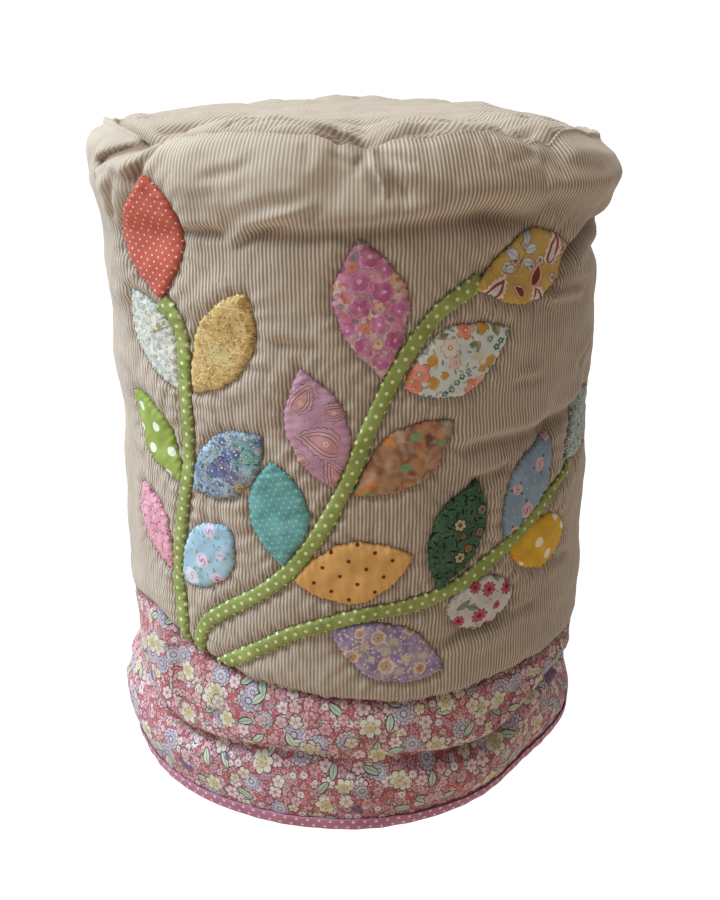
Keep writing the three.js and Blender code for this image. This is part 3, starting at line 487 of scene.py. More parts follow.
def rim_line(a):
    z = rim_seam(a) + 0.4 * round_waves(a, np.zeros_like(a), 15, 32, 5)
    t = turn(a)
    z = z + 1.5 * np.exp(-(((t + 6.6) / 2.4) ** 2)) - 1.1 * np.exp(-(((t + 1.8) / 2.2) ** 2))
    z = z + 1.4 * np.exp(-(((t - 9.5) / 3.0) ** 2))
    z = z - 6.4 * np.exp(-(((t - 44.5) / 2.6) ** 2)) - 1.6 * np.exp(-(((t - 39.5) / 3.0) ** 2)) + 1.6 * np.exp(-(((t - 53) / 4.5) ** 2))
    z = z + curve(RIM_LIE[:, 0], RIM_LIE[:, 1], t, 360.0)
    return z - 1.8 * np.exp(-(((t - 84) / 16) ** 2))


def rim_radius(a):
    return RIM_RADIUS + 0.6 * wall_folds(a, rim_seam(a))


def lining_radius(a, z):
    return wall_profile(a, z) + 0.5 * wall_folds(a, z) - WALL


def wall_cloth(a, z):
    """Outer radius of the quilted wall, with its folds but without the pull of the applique."""
    r = wall_profile(a, z) + wall_folds(a, z) + add_creases(a, z, WALL_CREASES)
    r = r + 0.55 * round_waves(a, z, 44, 1, 9) + 0.26 * round_waves(a, z, 17, 2, 11, 0.4)
    patch = ease(0.5 + 0.8 * round_waves(a, z, 70, 51, 7))
    facing = 0.35 + 0.65 * ease((74 - np.abs(turn(a))) / 20)
    r = r + 0.2 * patch * facing * round_waves(a, z, 8.5, 52, 13, 0.4, 0.45)
    up = z - foot_line(a)
    down = rim_line(a) - z
    facet = ease((turn(a) - 38) / 14) * ease((98 - turn(a)) / 14)
    r = r - 6.0 * facet * (1 - ease(down / 9.5))
    # slack over the foot seam, drawn in by it in small gathers
    r = r + 0.9 * np.exp(-(((up - 10) / 8) ** 2)) - 3.0 * np.exp(-((np.maximum(up, 0) / 2.4) ** 2))
    gathers = round_waves(a, z, 9.5, 3, 7, 0.45, 30)
    r = r + 0.5 * gathers * np.exp(-np.maximum(up, 0) / 8.0)
    loose = 1 - 0.8 * np.exp(-(((turn(a) - 56) / 16) ** 4))
    r = r + 0.4 * loose * round_waves(a, z, 10, 4, 7, 0.45, 30) * np.exp(-np.maximum(down, 0) / 9.0)
    return np.maximum(r, lining_radius(a, z) + 1.4)


def band_cloth(a, z):
    a, z = np.broadcast_arrays(np.asarray(a, float), np.asarray(z, float))
    zs = np.array([row[0] for row in BAND_RADII], float)
    rows = [curve(BAND_AZIMUTHS, row[1], turn(a), 360.0) for row in BAND_RADII]
    table = hermite(zs, rows, z)
    seam = foot_seam(a)
    to_wall = ease((z - (seam - 14)) / 14)
    r = mix(table, wall_profile(a, seam) + wall_folds(a, seam), to_wall)
    return r


def band_face(a, z):
    r = band_cloth(a, z) + add_creases(a, z, BAND_CREASES)
    down = foot_line(a) - z
    r = r - 2.2 * np.exp(-((np.maximum(down, 0) / 2.2) ** 2))
    r = r + 0.5 * round_waves(a, z, 36, 11, 9) + 0.3 * round_waves(a, z, 13, 12, 11, 0.4)
    r = r + 0.45 * round_waves(a, z, 11, 13, 7, 0.45, 24) * np.exp(-np.maximum(down, 0) / 12.0)
    r = r + 0.35 * round_waves(a, z, 9, 14, 7, 0.45, 24) * np.exp(-np.maximum(z - 9, 0) / 7.0)
    return r


def hem_radius(a, z):
    return mix(band_cloth(a, 0 * a), band_cloth(a, 0 * a + BINDING_HEIGHT), z / BINDING_HEIGHT) + 0.35 * round_waves(
        a, 0 * a, 13, 15, 7
    )


# ------------------------------------------------------------------ the applique, on the unrolled wall
def arc(points, step):
    """Centripetal Catmull-Rom through (u, z) points, about step mm apart."""
    p = np.asarray(points, float)
    p = np.vstack([2 * p[0] - p[1], p, 2 * p[-1] - p[-2]])
    out = []
    for i in range(1, len(p) - 2):
        p0, p1, p2, p3 = p[i - 1 : i + 3]
        t0 = 0.0
        t1 = t0 + math.hypot(*(p1 - p0)) ** 0.5
        t2 = t1 + math.hypot(*(p2 - p1)) ** 0.5
        t3 = t2 + math.hypot(*(p3 - p2)) ** 0.5
        t = np.linspace(t1, t2, 24, endpoint=False)[:, None]
        a1 = (t1 - t) / (t1 - t0) * p0 + (t - t0) / (t1 - t0) * p1
        a2 = (t2 - t) / (t2 - t1) * p1 + (t - t1) / (t2 - t1) * p2
        a3 = (t3 - t) / (t3 - t2) * p2 + (t - t2) / (t3 - t2) * p3
        b1 = (t2 - t) / (t2 - t0) * a1 + (t - t0) / (t2 - t0) * a2
        b2 = (t3 - t) / (t3 - t1) * a2 + (t - t1) / (t3 - t1) * a3
        out.append((t2 - t) / (t2 - t1) * b1 + (t - t1) / (t2 - t1) * b2)
    out = np.vstack(out + [p[-2][None]])
    run = np.concatenate([[0], np.cumsum(np.hypot(*(out[1:] - out[:-1]).T))])
    n = max(2, int(round(run[-1] / step)))
    s = np.linspace(0, run[-1], n + 1)
    return np.stack([np.interp(s, run, out[:, 0]), np.interp(s, run, out[:, 1])], axis=1), s


def to_uz(points):
    return [(math.radians(a) * APPLIQUE_RADIUS, z) for a, z in points]


def frames(line):
    d = np.gradient(line, axis=0)
    d /= np.hypot(d[:, 0], d[:, 1])[:, None]
    return np.stack([d[:, 1], -d[:, 0]], axis=1)  # to the right of the direction of travel


STEM_POINTS = [list(points) for _, points in STEMS]
STEM_POINTS[1] = [(26.4, 322.4)] + STEM_POINTS[1]  # it runs on under the foot of its leaf
# and all three are caught in the foot seam
STEM_POINTS[0][-1] = (-42.2, 102.2)
STEM_POINTS[1][-1] = (-37.4, 98.0)
STEM_POINTS[2][0] = (-33.2, 94.6)
STEM_LINES = [arc(to_uz(points), 1.1) for points in STEM_POINTS]
# how the half-width of each stem varies along it: a slight taper, and the left one's wide top
STEM_EXTRA = [
    lambda s, end: 1.1 * np.exp(-(s / 9.0) ** 2),
    lambda s, end: 0.3 * np.exp(-(s / 14.0) ** 2) - 0.5 * np.exp(-((end - s) / 16.0) ** 2),
    lambda s, end: -0.6 * np.exp(-((end - s) / 30.0) ** 2),
]


def clear_of_stems(points, keep):
    q = np.array(points, float)
    for line, _ in STEM_LINES:
        d = q[:, None, :] - line[None, :, :]
        dist = np.hypot(d[..., 0], d[..., 1])
        k = dist.argmin(axis=1)
        m = dist[np.arange(len(q)), k]
        push = (m < keep) & (m > 1e-6)
        v = d[np.arange(len(q)), k]
        q[push] += v[push] / m[push][:, None] * (keep - m[push])[:, None]
    return q


def to_stems(points):
    """Distance of (u, z) points from the nearest stem's centre line."""
    best = np.full(len(points), 1e9)
    for line, _ in STEM_LINES:
        for k in range(0, len(points), 4000):
            d = points[k : k + 4000, None, :] - line[None, ::2, :]
            best[k : k + 4000] = np.minimum(best[k : k + 4000], np.hypot(d[..., 0], d[..., 1]).min(axis=1))
    return best


FULLNESS = {
    "leaf_coral": 0.76,
    "leaf_sky_rose": 0.62,
    "leaf_yellow_dot": 0.56,
    "leaf_pink_white": 0.6,
    "leaf_gold": 0.72,
    "leaf_blue_purple": 0.74,
    "leaf_green_dot": 0.74,
    "leaf_purple": 0.78,
    "leaf_orange_dot": 0.8,
}
OVER_STEM = ("leaf_coral", "leaf_mustard")
SCALLOP = 4.6  # mm between the small gathers of a sewn edge
ACROSS = np.sin(np.linspace(-1, 1, 23) * math.pi / 2)
ALONG = 0.5 - 0.5 * np.cos(np.linspace(0, math.pi, 66))
ALONG = 0.55 * ALONG + 0.45 * np.linspace(0, 1, 66)


def leaf_grid(leaf, number):
    """(u, z) of the leaf's points, how far each is in from the edge, and the run along the edge."""
    name, u0, z0, u1, z1, left, right, widest = leaf
    rng = np.random.default_rng(100 + number)
    foot, tip = np.array([u0, z0]), np.array([u1, z1])
    axis = tip - foot
    length = math.hypot(*axis)
    to_right = np.array([axis[1], -axis[0]]) / length
    bend = math.log(0.5) / math.log(widest)
    t = ALONG
    wide = np.maximum(np.sin(math.pi * t**bend), 0) ** FULLNESS.get(name, 0.86)
    run = t * length
    phase = rng.uniform(0, 6.283, 2)
    uneven = [0.5 * np.sin(2 * math.pi * run / 29 + p) + 0.3 * np.sin(2 * math.pi * run / 13 + 2 * p) for p in phase]
    half = []
    for side, p, rough in ((left, phase[0], uneven[0]), (right, phase[1], uneven[1])):
        scallop = 0.34 * np.cos(2 * math.pi * run / SCALLOP + p)
        full = wide
        if name == "leaf_coral" and side == left:  # fuller low on its left
            full = 1.06 * np.maximum(np.sin(math.pi * t**0.88), 0) ** 0.76 + 0.2 * np.exp(-(((t - 0.5) / 0.17) ** 2))
        half.append(side * full + (rough + scallop) * np.minimum(1, 6 * t) * np.minimum(1, 6 * (1 - t)))
    half = np.maximum(np.array(half), 0.12)
    w = ACROSS[None, :]
    offset = np.where(w < 0, w * half[0][:, None], w * half[1][:, None])
    points = foot + t[:, None, None] * axis + offset[..., None] * to_right
    inner = np.minimum(
        (1 - np.abs(w)) * np.where(w < 0, half[0][:, None], half[1][:, None]), 1e9
    ) * np.cos(np.arctan(np.gradient(half.mean(axis=0), run)))[:, None]
    ends = np.minimum(run, length - run)[:, None] * np.ones_like(w)
    inner = np.minimum(inner, ends * 0.9)
    shape = points.shape[:2]
    flat = points.reshape(-1, 2)
    if name not in OVER_STEM:
        flat = clear_of_stems(flat, STEM_WIDTH / 2 - 1.6)
    return flat.reshape(*shape, 2), np.maximum(inner, 0), run, phase


LEAF_GRIDS = {leaf[0]: leaf_grid(leaf, k) for k, leaf in enumerate(LEAVES)}


def outlines():
    """Sewn edges as dense (u, z) points with the run along each, and the closed outline each bounds."""
    edges, shapes = [], []
    for name, (grid, _, _, _) in LEAF_GRIDS.items():
        loop = np.vstack([grid[:, 0], grid[::-1, -1]])
        shapes.append(loop)
        edges.append(np.vstack([loop, loop[:1]]))
    for (line, s), extra in zip(STEM_LINES, STEM_EXTRA):
        right = frames(line)
        half = STEM_WIDTH / 2 + extra(s, s[-1])
        left_edge, right_edge = line - right * half[:, None], line + right * half[:, None]
        edges += [left_edge, right_edge]
        shapes.append(np.vstack([left_edge, right_edge[::-1]]))
    dense = []
    for edge in edges:
        run = np.concatenate([[0], np.cumsum(np.hypot(*(edge[1:] - edge[:-1]).T))])
        s = np.arange(0, run[-1], 0.7)
        dense.append(np.stack([np.interp(s, run, edge[:, 0]), np.interp(s, run, edge[:, 1]), s], axis=1))
    return dense, shapes


EDGES, SHAPES = outlines()


def inside(points, shape):
    x, y = points[:, 0], points[:, 1]
    hit = np.zeros(len(points), bool)
    x0, y0 = shape[:, 0], shape[:, 1]
    x1, y1 = np.roll(x0, -1), np.roll(y0, -1)
    for a, b, c, d in zip(x0, y0, x1, y1):
        if b == d:
            continue
        cross = (b > y) != (d > y)
        hit ^= cross & (x < (c - a) * (y - b) / (d - b) + a)
    return hit


def applique_pull(u, z):
    """How the sewn edges draw the wall in, the share of slack near them, and what lies under cloth."""
    shape = u.shape
    points = np.stack([u.ravel(), z.ravel()], axis=1)
    nearest_d = np.full(len(points), 99.0)
    ripple = np.zeros(len(points))
    under = np.zeros(len(points), bool)
    for number, edge in enumerate(EDGES):
        low, high = edge[:, :2].min(axis=0) - 26, edge[:, :2].max(axis=0) + 26
        near = np.flatnonzero(((points > low) & (points < high)).all(axis=1))
        for k in range(0, len(near), 3000):
            part = near[k : k + 3000]
            d = np.hypot(points[part, 0][:, None] - edge[None, :, 0], points[part, 1][:, None] - edge[None, :, 1])
            i = d.argmin(axis=1)
            m = d[np.arange(len(part)), i]
            wave = np.cos(2 * math.pi * (edge[i, 2] / 8.3 + 0.35 * np.sin(edge[i, 2] / 19 + number)) + number)
            ripple[part] += wave * np.exp(-m / 8.5) * (1 - np.exp(-m / 1.2))
            nearest_d[part] = np.minimum(nearest_d[part], m)
    for outline in SHAPES:
        low, high = outline.min(axis=0), outline.max(axis=0)
        near = np.flatnonzero(((points > low) & (points < high)).all(axis=1))
        under[near] |= inside(points[near], outline)
    dip = -1.25 * np.exp(-((nearest_d / 2.6) ** 2)) + 0.55 * np.exp(-(((nearest_d - 8.5) / 5) ** 2))
    pull = np.where(under, -0.9 - 0.4 * np.exp(-((nearest_d / 2.6) ** 2)), dip + 0.8 * ripple)
    near_share = np.exp(-nearest_d / 9.0)
    return pull.reshape(shape), near_share.reshape(shape), under.reshape(shape)


# ------------------------------------------------------------------ meshes
def make(name, points, faces, uvs, materials, **shares):
    """A shaded piece from points in mm, faces as an (n, 3 or 4) array or a list of them, one (u, v)
    per face corner, and named shares from 0 to 1 at its points."""
    mesh = bpy.data.meshes.new(name)
    points = np.asarray(points, float) * MM
    blocks = faces if isinstance(faces, list) else [faces]
    uv_blocks = uvs if isinstance(uvs, list) else [uvs]
    sizes = np.concatenate([np.full(len(b), b.shape[1]) for b in blocks])
    corners = np.concatenate([b.ravel() for b in blocks])
    mesh.vertices.add(len(points))
    mesh.vertices.foreach_set("co", points.ravel())
    mesh.loops.add(len(corners))
    mesh.loops.foreach_set("vertex_index", corners.astype(np.int32))
    mesh.polygons.add(len(sizes))
    starts = np.concatenate([[0], np.cumsum(sizes)[:-1]])
    mesh.polygons.foreach_set("loop_start", starts.astype(np.int32))
    mesh.polygons.foreach_set("loop_total", sizes.astype(np.int32))
    layer = mesh.uv_layers.new(name="UVMap")
    layer.data.foreach_set("uv", np.concatenate([b.reshape(-1, 2) for b in uv_blocks]).ravel())
    mesh.update(calc_edges=True)
    mesh.validate()
    for material in materials:
        mesh.materials.append(material)
    for key, values in shares.items():
        layer = mesh.attributes.new(key, "FLOAT", "POINT")
        layer.data.foreach_set("value", np.clip(values, 0, 1).astype(np.float32).ravel())
    mesh.shade_smooth()
    obj = bpy.data.objects.new(name, mesh)
    bpy.context.scene.collection.objects.link(obj)
    return obj


def ring_faces(columns, rows, closed_rows=True):
    """Quads of a grid that closes round its columns, facing out when rows run up the outside."""
    i = np.arange(columns)[:, None]
    k = np.arange(rows if closed_rows else rows - 1)[None, :]
    j = (i + 1) % columns
    l = (k + 1) % rows
    quads = np.stack([i * rows + k, j * rows + k, j * rows + l, i * rows + l], axis=-1)
    return quads.reshape(-1, 4)


def ring_uvs(u, v, closed_rows=True):
    """u is (columns + 1, rows), v (columns + 1, rows); corners follow ring_faces."""
    columns, rows = u.shape[0] - 1, u.shape[1]
    i = np.arange(columns)[:, None]
    k = np.arange(rows if closed_rows else rows - 1)[None, :]
    l = (k + 1) % rows
    uv = np.stack([u, v], axis=-1)
    return np.stack([uv[i, k], uv[i + 1, k], uv[i + 1, l], uv[i, l]], axis=2).reshape(-1, 4, 2)


COLUMN_AZIMUTHS = np.concatenate([np.linspace(-96, 96, 385)[:-1], np.linspace(96, 264, 100)[:-1]])
N_COLUMNS = len(COLUMN_AZIMUTHS)


def with_last(values):
    return np.concatenate([values, values[:1]], axis=0)


def wall_piece(material):
    a = COLUMN_AZIMUTHS[:, None]
    low, high = foot_line(a), rim_line(a)
    v = np.linspace(0, 1, 176)[None, :]
    z = mix(low, high, v)
    r = wall_cloth(a, z)
    u = np.radians(turn(a)) * APPLIQUE_RADIUS * np.ones_like(z)
    pull, slack, under = applique_pull(u, z)
    r = np.maximum(r + pull, lining_radius(a, z) + 1.0)
    # the cloth rolls in over the rim
    rim, rise = rim_radius(a), shoulder(a) * (1 - 0.2 * np.exp(-(((turn(a) + 80) / 22) ** 2)))
    curl = np.clip(1 - (high - z) / 9.0, 0, 1)
    r = r - np.maximum(r[:, -1:] - (rim + 2.2 + 1.0 * rise), 0) * (1 - np.sqrt(1 - 0.995 * curl * curl))
    ear = np.exp(-(((turn(a) + 52) / 6) ** 2))
    r = r + 0.75 * ear * curl * np.minimum(add_creases(a, z, WALL_CREASES), 0)
    # the lips of the deeper creases hang over them a little
    sag = add_creases(a, z, [c for c in WALL_CREASES if c[2] >= 2.2])
    outside_z = z - 0.35 * np.maximum(sag, 0) * ease((high - z) / 12)
    # the crest: over the edge and down to the seam with the top
    crest_r, crest_z = rim + 1.3 + 0.8 * rise, high + rise
    first_r, first_z = r[:, -1:], z[:, -1:]
    t = np.linspace(0, 1, 12)[None, 1:]
    control_r = 2 * crest_r - 0.5 * (first_r + rim)
    control_z = 2 * crest_z - 0.5 * (first_z + high)
    over_r = (1 - t) ** 2 * first_r + 2 * t * (1 - t) * control_r + t * t * rim
    over_z = (1 - t) ** 2 * first_z + 2 * t * (1 - t) * control_z + t * t * high
    tuck = round_waves(a, 0 * a, 9, 5, 7) * (1 - 0.85 * np.exp(-(((turn(a) - 56) / 16) ** 4)))
    over_z = over_z + (0.7 + 0.3 * tuck) * np.sin(math.pi * t) - 2.6 * t**3
    # inside: the backing, down to the foot
    w = np.linspace(1, 0, 12)[None, :]
    in_z = mix(low, high - MITRE, w)
    in_r = mix(lining_radius(a, in_z), rim - WALL + 0.5, ease((w - 0.86) / 0.14))
    in_r = in_r + 0.5 * round_waves(a, in_z, 40, 6) * np.sin(math.pi * w)
    radius = np.concatenate([r, over_r, in_r], axis=1)
    height = np.concatenate([outside_z, over_z, in_z], axis=1)
    height[:, 0] -= 1.4
    height[:, -1] -= 1.4
    points = place(radius, a * np.ones_like(radius), height)
    rows = radius.shape[1]
    # stripes: even round the cover, swaying a little where the cloth is drawn up
    columns = np.concatenate([COLUMN_AZIMUTHS, [COLUMN_AZIMUTHS[0] + 360]])[:, None]
    sway = 0.10 * round_waves(a, outside_z, 34, 7, 9) + 0.025 * round_waves(a, outside_z, 11, 8, 11, 0.5, 0.8)
    sway = sway + slack * 0.13 * round_waves(a, outside_z, 12, 9, 11, 0.5, 0.7)
    sway = np.concatenate([sway, np.repeat(sway[:, -1:], rows - sway.shape[1], axis=1)], axis=1)
    stripe = columns / 360 * STRIPES + with_last(sway)
    along = np.concatenate([z, high + 1.2 * np.arange(1, 12)[None, :], in_z], axis=1) / 10
    uv = ring_uvs(stripe, with_last(along))
    # painted shade: the 'deep' share darkens the stripes in creases and folds, along the foot seam, beside the sewn
    # edges, over the crest into the seam with the top, and all over the inside; less on the lips of creases
    every = add_creases(a, z, WALL_CREASES)
    deep = np.clip(-every / 5.0, 0, 1) + 0.5 * np.clip(-wall_folds(a, z) / 4.0, 0, 1) - 0.35 * np.clip(every / 2.5, 0, 1)
    deep = deep + 0.5 * np.exp(-(((z - foot_line(a)) / 2.5) ** 2)) + 0.16 * np.clip(-pull / 1.2, 0, 1)
    deep = np.concatenate([deep, deep[:, -1:] + 0.7 * t**3, np.ones_like(in_r)], axis=1)
    # painted glare: where light washes the cloth out (upper left, the shoulder roll at the front and at the right, low
    # at the front) the 'faint' share fades the stripes
    left = 0.75 * ease((-turn(a) - 40) / 12) * ease((outside_z - 338) / 16)
    left = np.maximum(left, 0.5 * ease((20 - turn(a)) / 24) * ease((outside_z - 346) / 16))
    left = np.maximum(left, 0.6 * ease((turn(a) - 44) / 12) * ease((outside_z - 362) / 14))
    left = np.maximum(left, 0.22 * ease((turn(a) + 36) / 10) * ease((26 - turn(a)) / 20) * ease((136 - outside_z) / 30))
    faint = np.concatenate([left, np.repeat(left[:, -1:], rows - left.shape[1], axis=1)], axis=1)
    return make("quilted_wall", points.reshape(-1, 3), ring_faces(N_COLUMNS, rows), uv, [material], deep=deep, faint=faint)


TOP_CREASES = [  # (x, y) in mm, then width and depth; a negative depth is a ridge
    ([(-66, -118), (-56, -112), (-44, -108), (-30, -106)], 2.5, 3.0),
    ([(-30, -128), (-14, -126), (0, -124), (16, -125)], 2.2, 2.2),
    ([(-46, -121), (-30, -119), (-8, -117), (12, -117), (30, -119)], 2.2, 1.7),
    ([(-40, -110), (-20, -109), (4, -108), (28, -110)], 2.4, 1.4),
    ([(8, -133), (24, -129), (44, -123)], 2.2, 1.8),
    ([(40, -116), (58, -106), (74, -98)], 2.9, 2.1),
    ([(72, -112), (84, -98), (92, -84)], 2.9, 2.7),
    ([(56, -96), (76, -88), (100, -84)], 3.1, 2.2),
    ([(84, -66), (102, -62), (120, -60)], 3.2, 2.4),
    ([(-92, -96), (-78, -92), (-62, -92)], 2.9, 2.7),
    ([(-104, -80), (-90, -74), (-74, -72)], 3.1, 2.4),
    ([(-118, -56), (-104, -50), (-88, -48)], 3.2, 2.1),
    ([(-40, -90), (0, -86), (44, -90)], 4.2, 1.4),
    ([(-130, 0), (-112, 4), (-96, 2)], 3.4, 2.2),
    ([(130, 6), (112, 2), (94, 6)], 3.4, 2.2),
    ([(-96, 84), (-82, 74), (-70, 70)], 3.4, 2.4),
    ([(100, 80), (84, 72), (70, 70)], 3.4, 2.4),
    ([(-36, 126), (-30, 110), (-26, 96)], 3.4, 2.4),
    ([(40, 124), (36, 108), (30, 96)], 3.4, 2.4),
    ([(2, 130), (2, 112), (0, 100)], 3.4, 1.8),
    ([(-60, 20), (-20, 34), (30, 30), (64, 12)], 6.0, 1.5),
]


def plane_line(x, y, points):
    best = np.full(x.shape, 1e9)
    share = np.zeros(x.shape)
    spans = [math.hypot(q[0] - p[0], q[1] - p[1]) for p, q in zip(points[:-1], points[1:])]
    whole, done = sum(spans), 0.0
    for (x0, y0), (x1, y1), span in zip(points[:-1], points[1:], spans):
        t = np.clip(((x - x0) * (x1 - x0) + (y - y0) * (y1 - y0)) / (span * span), 0, 1)
        d = np.hypot(x - x0 - t * (x1 - x0), y - y0 - t * (y1 - y0))
        closer = d < best
        best = np.where(closer, d, best)
        share = np.where(closer, (done + t * span) / whole, share)
        done += span
    return best, share


def top_piece(material):
    a = np.linspace(-180, 180, 361)[:-1][:, None]
    rim_z = rim_line(a)
    rim_r = rim_radius(a) - GAP
    shares = 1 - np.linspace(0, 1, 62)[:-1] ** 1.35
    s = shares[None, :]
    order = np.argsort(CROWN[:, 0])
    share_at, rise, level, notch = (CROWN[order, k] for k in range(4))
    share_at = np.concatenate([[0.0], share_at])
    rise = np.concatenate([[CROWN_MIDDLE - CROWN_LEVEL], rise])
    level = np.concatenate([[1.0], level])
    notch = np.concatenate([[0.0], notch])
    rise_s, level_s, notch_s = (np.interp(s, share_at, v) for v in (rise, level, notch))
    rise_s = 0.5 * rise_s + 0.5 * hermite(share_at, rise, s)
    depth = sum(d * np.exp(-((turn(a - at) / 5) ** 2)) for at, d in TOP_NOTCHES)
    z = mix(rim_z, CROWN_LEVEL, level_s) + rise_s - depth * notch_s
    r = rim_r * s
    x, y = r * np.sin(np.radians(a)), -r * np.cos(np.radians(a))
    from_rim = rim_r * (1 - s)
    z = z - 2.6 * np.exp(-((from_rim / 5.0) ** 2))
    z = z + 0.7 * round_waves(a, 0 * a, 11, 21, 9, 0.45) * np.exp(-from_rim / 9.0) * ease(from_rim / 2.0)
    puffs = np.abs(waves(0.8 * x, y, 62, 22, 9)) ** 0.85
    z = z + (2.3 * puffs - 1.0) * ease(from_rim / 24) + 0.35 * waves(x, y, 19, 23, 11) * ease(from_rim / 10)
    # across the front the top lies in fine rucks that follow its stripes
    rucks = waves(0.22 * x, y, 7.5, 24, 7, 0.25) * np.exp(-(((y + 118) / 16) ** 2)) * np.exp(-(((x + 4) / 62) ** 4))
    z = z + 1.25 * rucks * ease(from_rim / 7)
    # painted shade: 'deep' darkens the troughs of the rucks and a groove along the rim
    deep = 0.3 * np.clip(-rucks, 0, 1) + 0.8 * np.exp(-((from_rim / 3.0) ** 2))
    rucks = waves(0.22 * x, y, 9, 25, 7, 0.25) * np.exp(-(((x - 92) / 26) ** 2)) * np.exp(-(((y + 76) / 30) ** 2))
    z = z + 1.1 * rucks * ease(from_rim / 7)
    deep = deep + 0.3 * np.clip(-rucks, 0, 1)
    for points, width, depth_mm in TOP_CREASES:
        d, share = plane_line(x, y, points)
        fold = depth_mm * np.exp(-((d / width) ** 2)) * ease(share / 0.25) * ease((1 - share) / 0.25)
        z = z - fold
        # painted shade in the creases
        deep = deep + 0.3 * fold
    # a pocket behind the pinch at the front of the rim, with painted shade in it and a thin painted dark line across it
    z = z - 3.6 * np.exp(-(((x + 1) / 15) ** 2) - ((y + 132) / 8) ** 2)
    z = z + 1.6 * np.exp(-(((x - 2) / 30) ** 2) - ((y + 121) / 5) ** 2)
    deep = deep + 1.3 * np.exp(-(((x + 6) / 11) ** 4) - ((y + 131) / 9) ** 2) + 0.5 * np.exp(-(((x - 10) / 18) ** 2) - ((y + 130) / 8) ** 2)
    deep = deep + 1.5 * np.exp(-(((x + 7) / 9) ** 4) - ((y + 127) / 2.4) ** 2)
    under = rim_r - WALL + 0.2
    below_r = np.concatenate([under * 0.3, under * 0.72, under * 0.8, under * 0.9, under * 0.96, under, rim_r - 1.5], axis=1)
    below_z = np.concatenate(
        [
            CEILING + 0 * a,
            CEILING + 0 * a,
            mix(CEILING + 0 * a, np.minimum(CEILING - 0.5, rim_z), 0.45),
            np.minimum(CEILING - 0.5, rim_z),
            mix(np.minimum(CEILING - 0.5, rim_z), rim_z - MITRE + 0.25, 0.6),
            rim_z - MITRE + 0.25,
            rim_z - 1.6,
        ],
        axis=1,
    )
    radius = np.concatenate([below_r, r], axis=1)
    height = np.concatenate([below_z, z], axis=1)
    ring = place(radius, a * np.ones_like(radius), height)
    n, rows = radius.shape
    points = np.vstack([ring.reshape(-1, 3), [[0, 0, CEILING], [0, 0, CROWN_MIDDLE]]])
    quads = ring_faces(n, rows, closed_rows=False)
    i = np.arange(n)
    j = (i + 1) % n
    floor = np.stack([np.full(n, n * rows), j * rows, i * rows], axis=1)
    crown = np.stack([np.full(n, n * rows + 1), i * rows + rows - 1, j * rows + rows - 1], axis=1)
    # stripes run on a slant across the top
    px, py = points[:, 0], points[:, 1]
    across, along = 0.85 * px - 0.53 * py, 0.53 * px + 0.85 * py
    stripe = across / 2.05 + 0.5 * waves(px, py, 60, 26) + 0.1 * waves(px, py, 15, 27)
    flat = np.stack([stripe, along / 10], axis=1)
    faces = [quads, np.vstack([floor, crown])]
    # painted shade: all of the underside is fully darkened
    deep = np.concatenate([np.ones_like(below_r), deep], axis=1).ravel()
    deep = np.concatenate([deep, [1.0, 0.0]])
    return make("quilted_top", points, faces, [flat[f] for f in faces], [material], deep=deep, faint=0 * deep + 0.12)


def band_piece(material):
    a = COLUMN_AZIMUTHS[:, None]
    seam = foot_line(a)
    bottom = TAPE + GAP
    v = np.linspace(0, 1, 62)[None, :]
    z = mix(bottom, seam, v)
    hem = ease((z - BINDING_HEIGHT) / 5)
    r = mix(hem_radius(a, np.minimum(z, BINDING_HEIGHT)), band_face(a, z), hem)
    w = np.linspace(1, 0, 14)[None, :]
    in_z = mix(bottom, seam, w)
    face = band_cloth(a, in_z) + 0.7 * add_creases(a, in_z, BAND_CREASES)
    in_r = mix(hem_radius(a, np.minimum(in_z, BINDING_HEIGHT)), face, ease((in_z - BINDING_HEIGHT) / 5)) - BAND
    radius = np.concatenate([r, in_r], axis=1)
    height = np.concatenate([z, in_z], axis=1)
    height[:, 61] += 1.2
    height[:, 62] += 1.2
    points = place(radius, a * np.ones_like(radius), height)
    columns = np.concatenate([COLUMN_AZIMUTHS, [COLUMN_AZIMUTHS[0] + 360]])[:, None]
    u = np.radians(columns) * 148 / 10 + 0 * with_last(height)
    uv = ring_uvs(u, with_last(height) / 10)
    # painted shade: the 'deep' share darkens the creases, a line along the foot seam under the wall's overhang, and all
    # of the inside; less on the lips of creases
    every = add_creases(a, z, BAND_CREASES)
    down = seam - z
    deep = np.clip(-every / 5.0, 0, 1) - 0.4 * np.clip(every / 2.5, 0, 1) + 0.8 * np.exp(-((down / 2.2) ** 2))
    deep = np.concatenate([deep, np.ones_like(in_r)], axis=1)
    return make("floral_band", points.reshape(-1, 3), ring_faces(N_COLUMNS, radius.shape[1]), uv, [material], deep=deep)


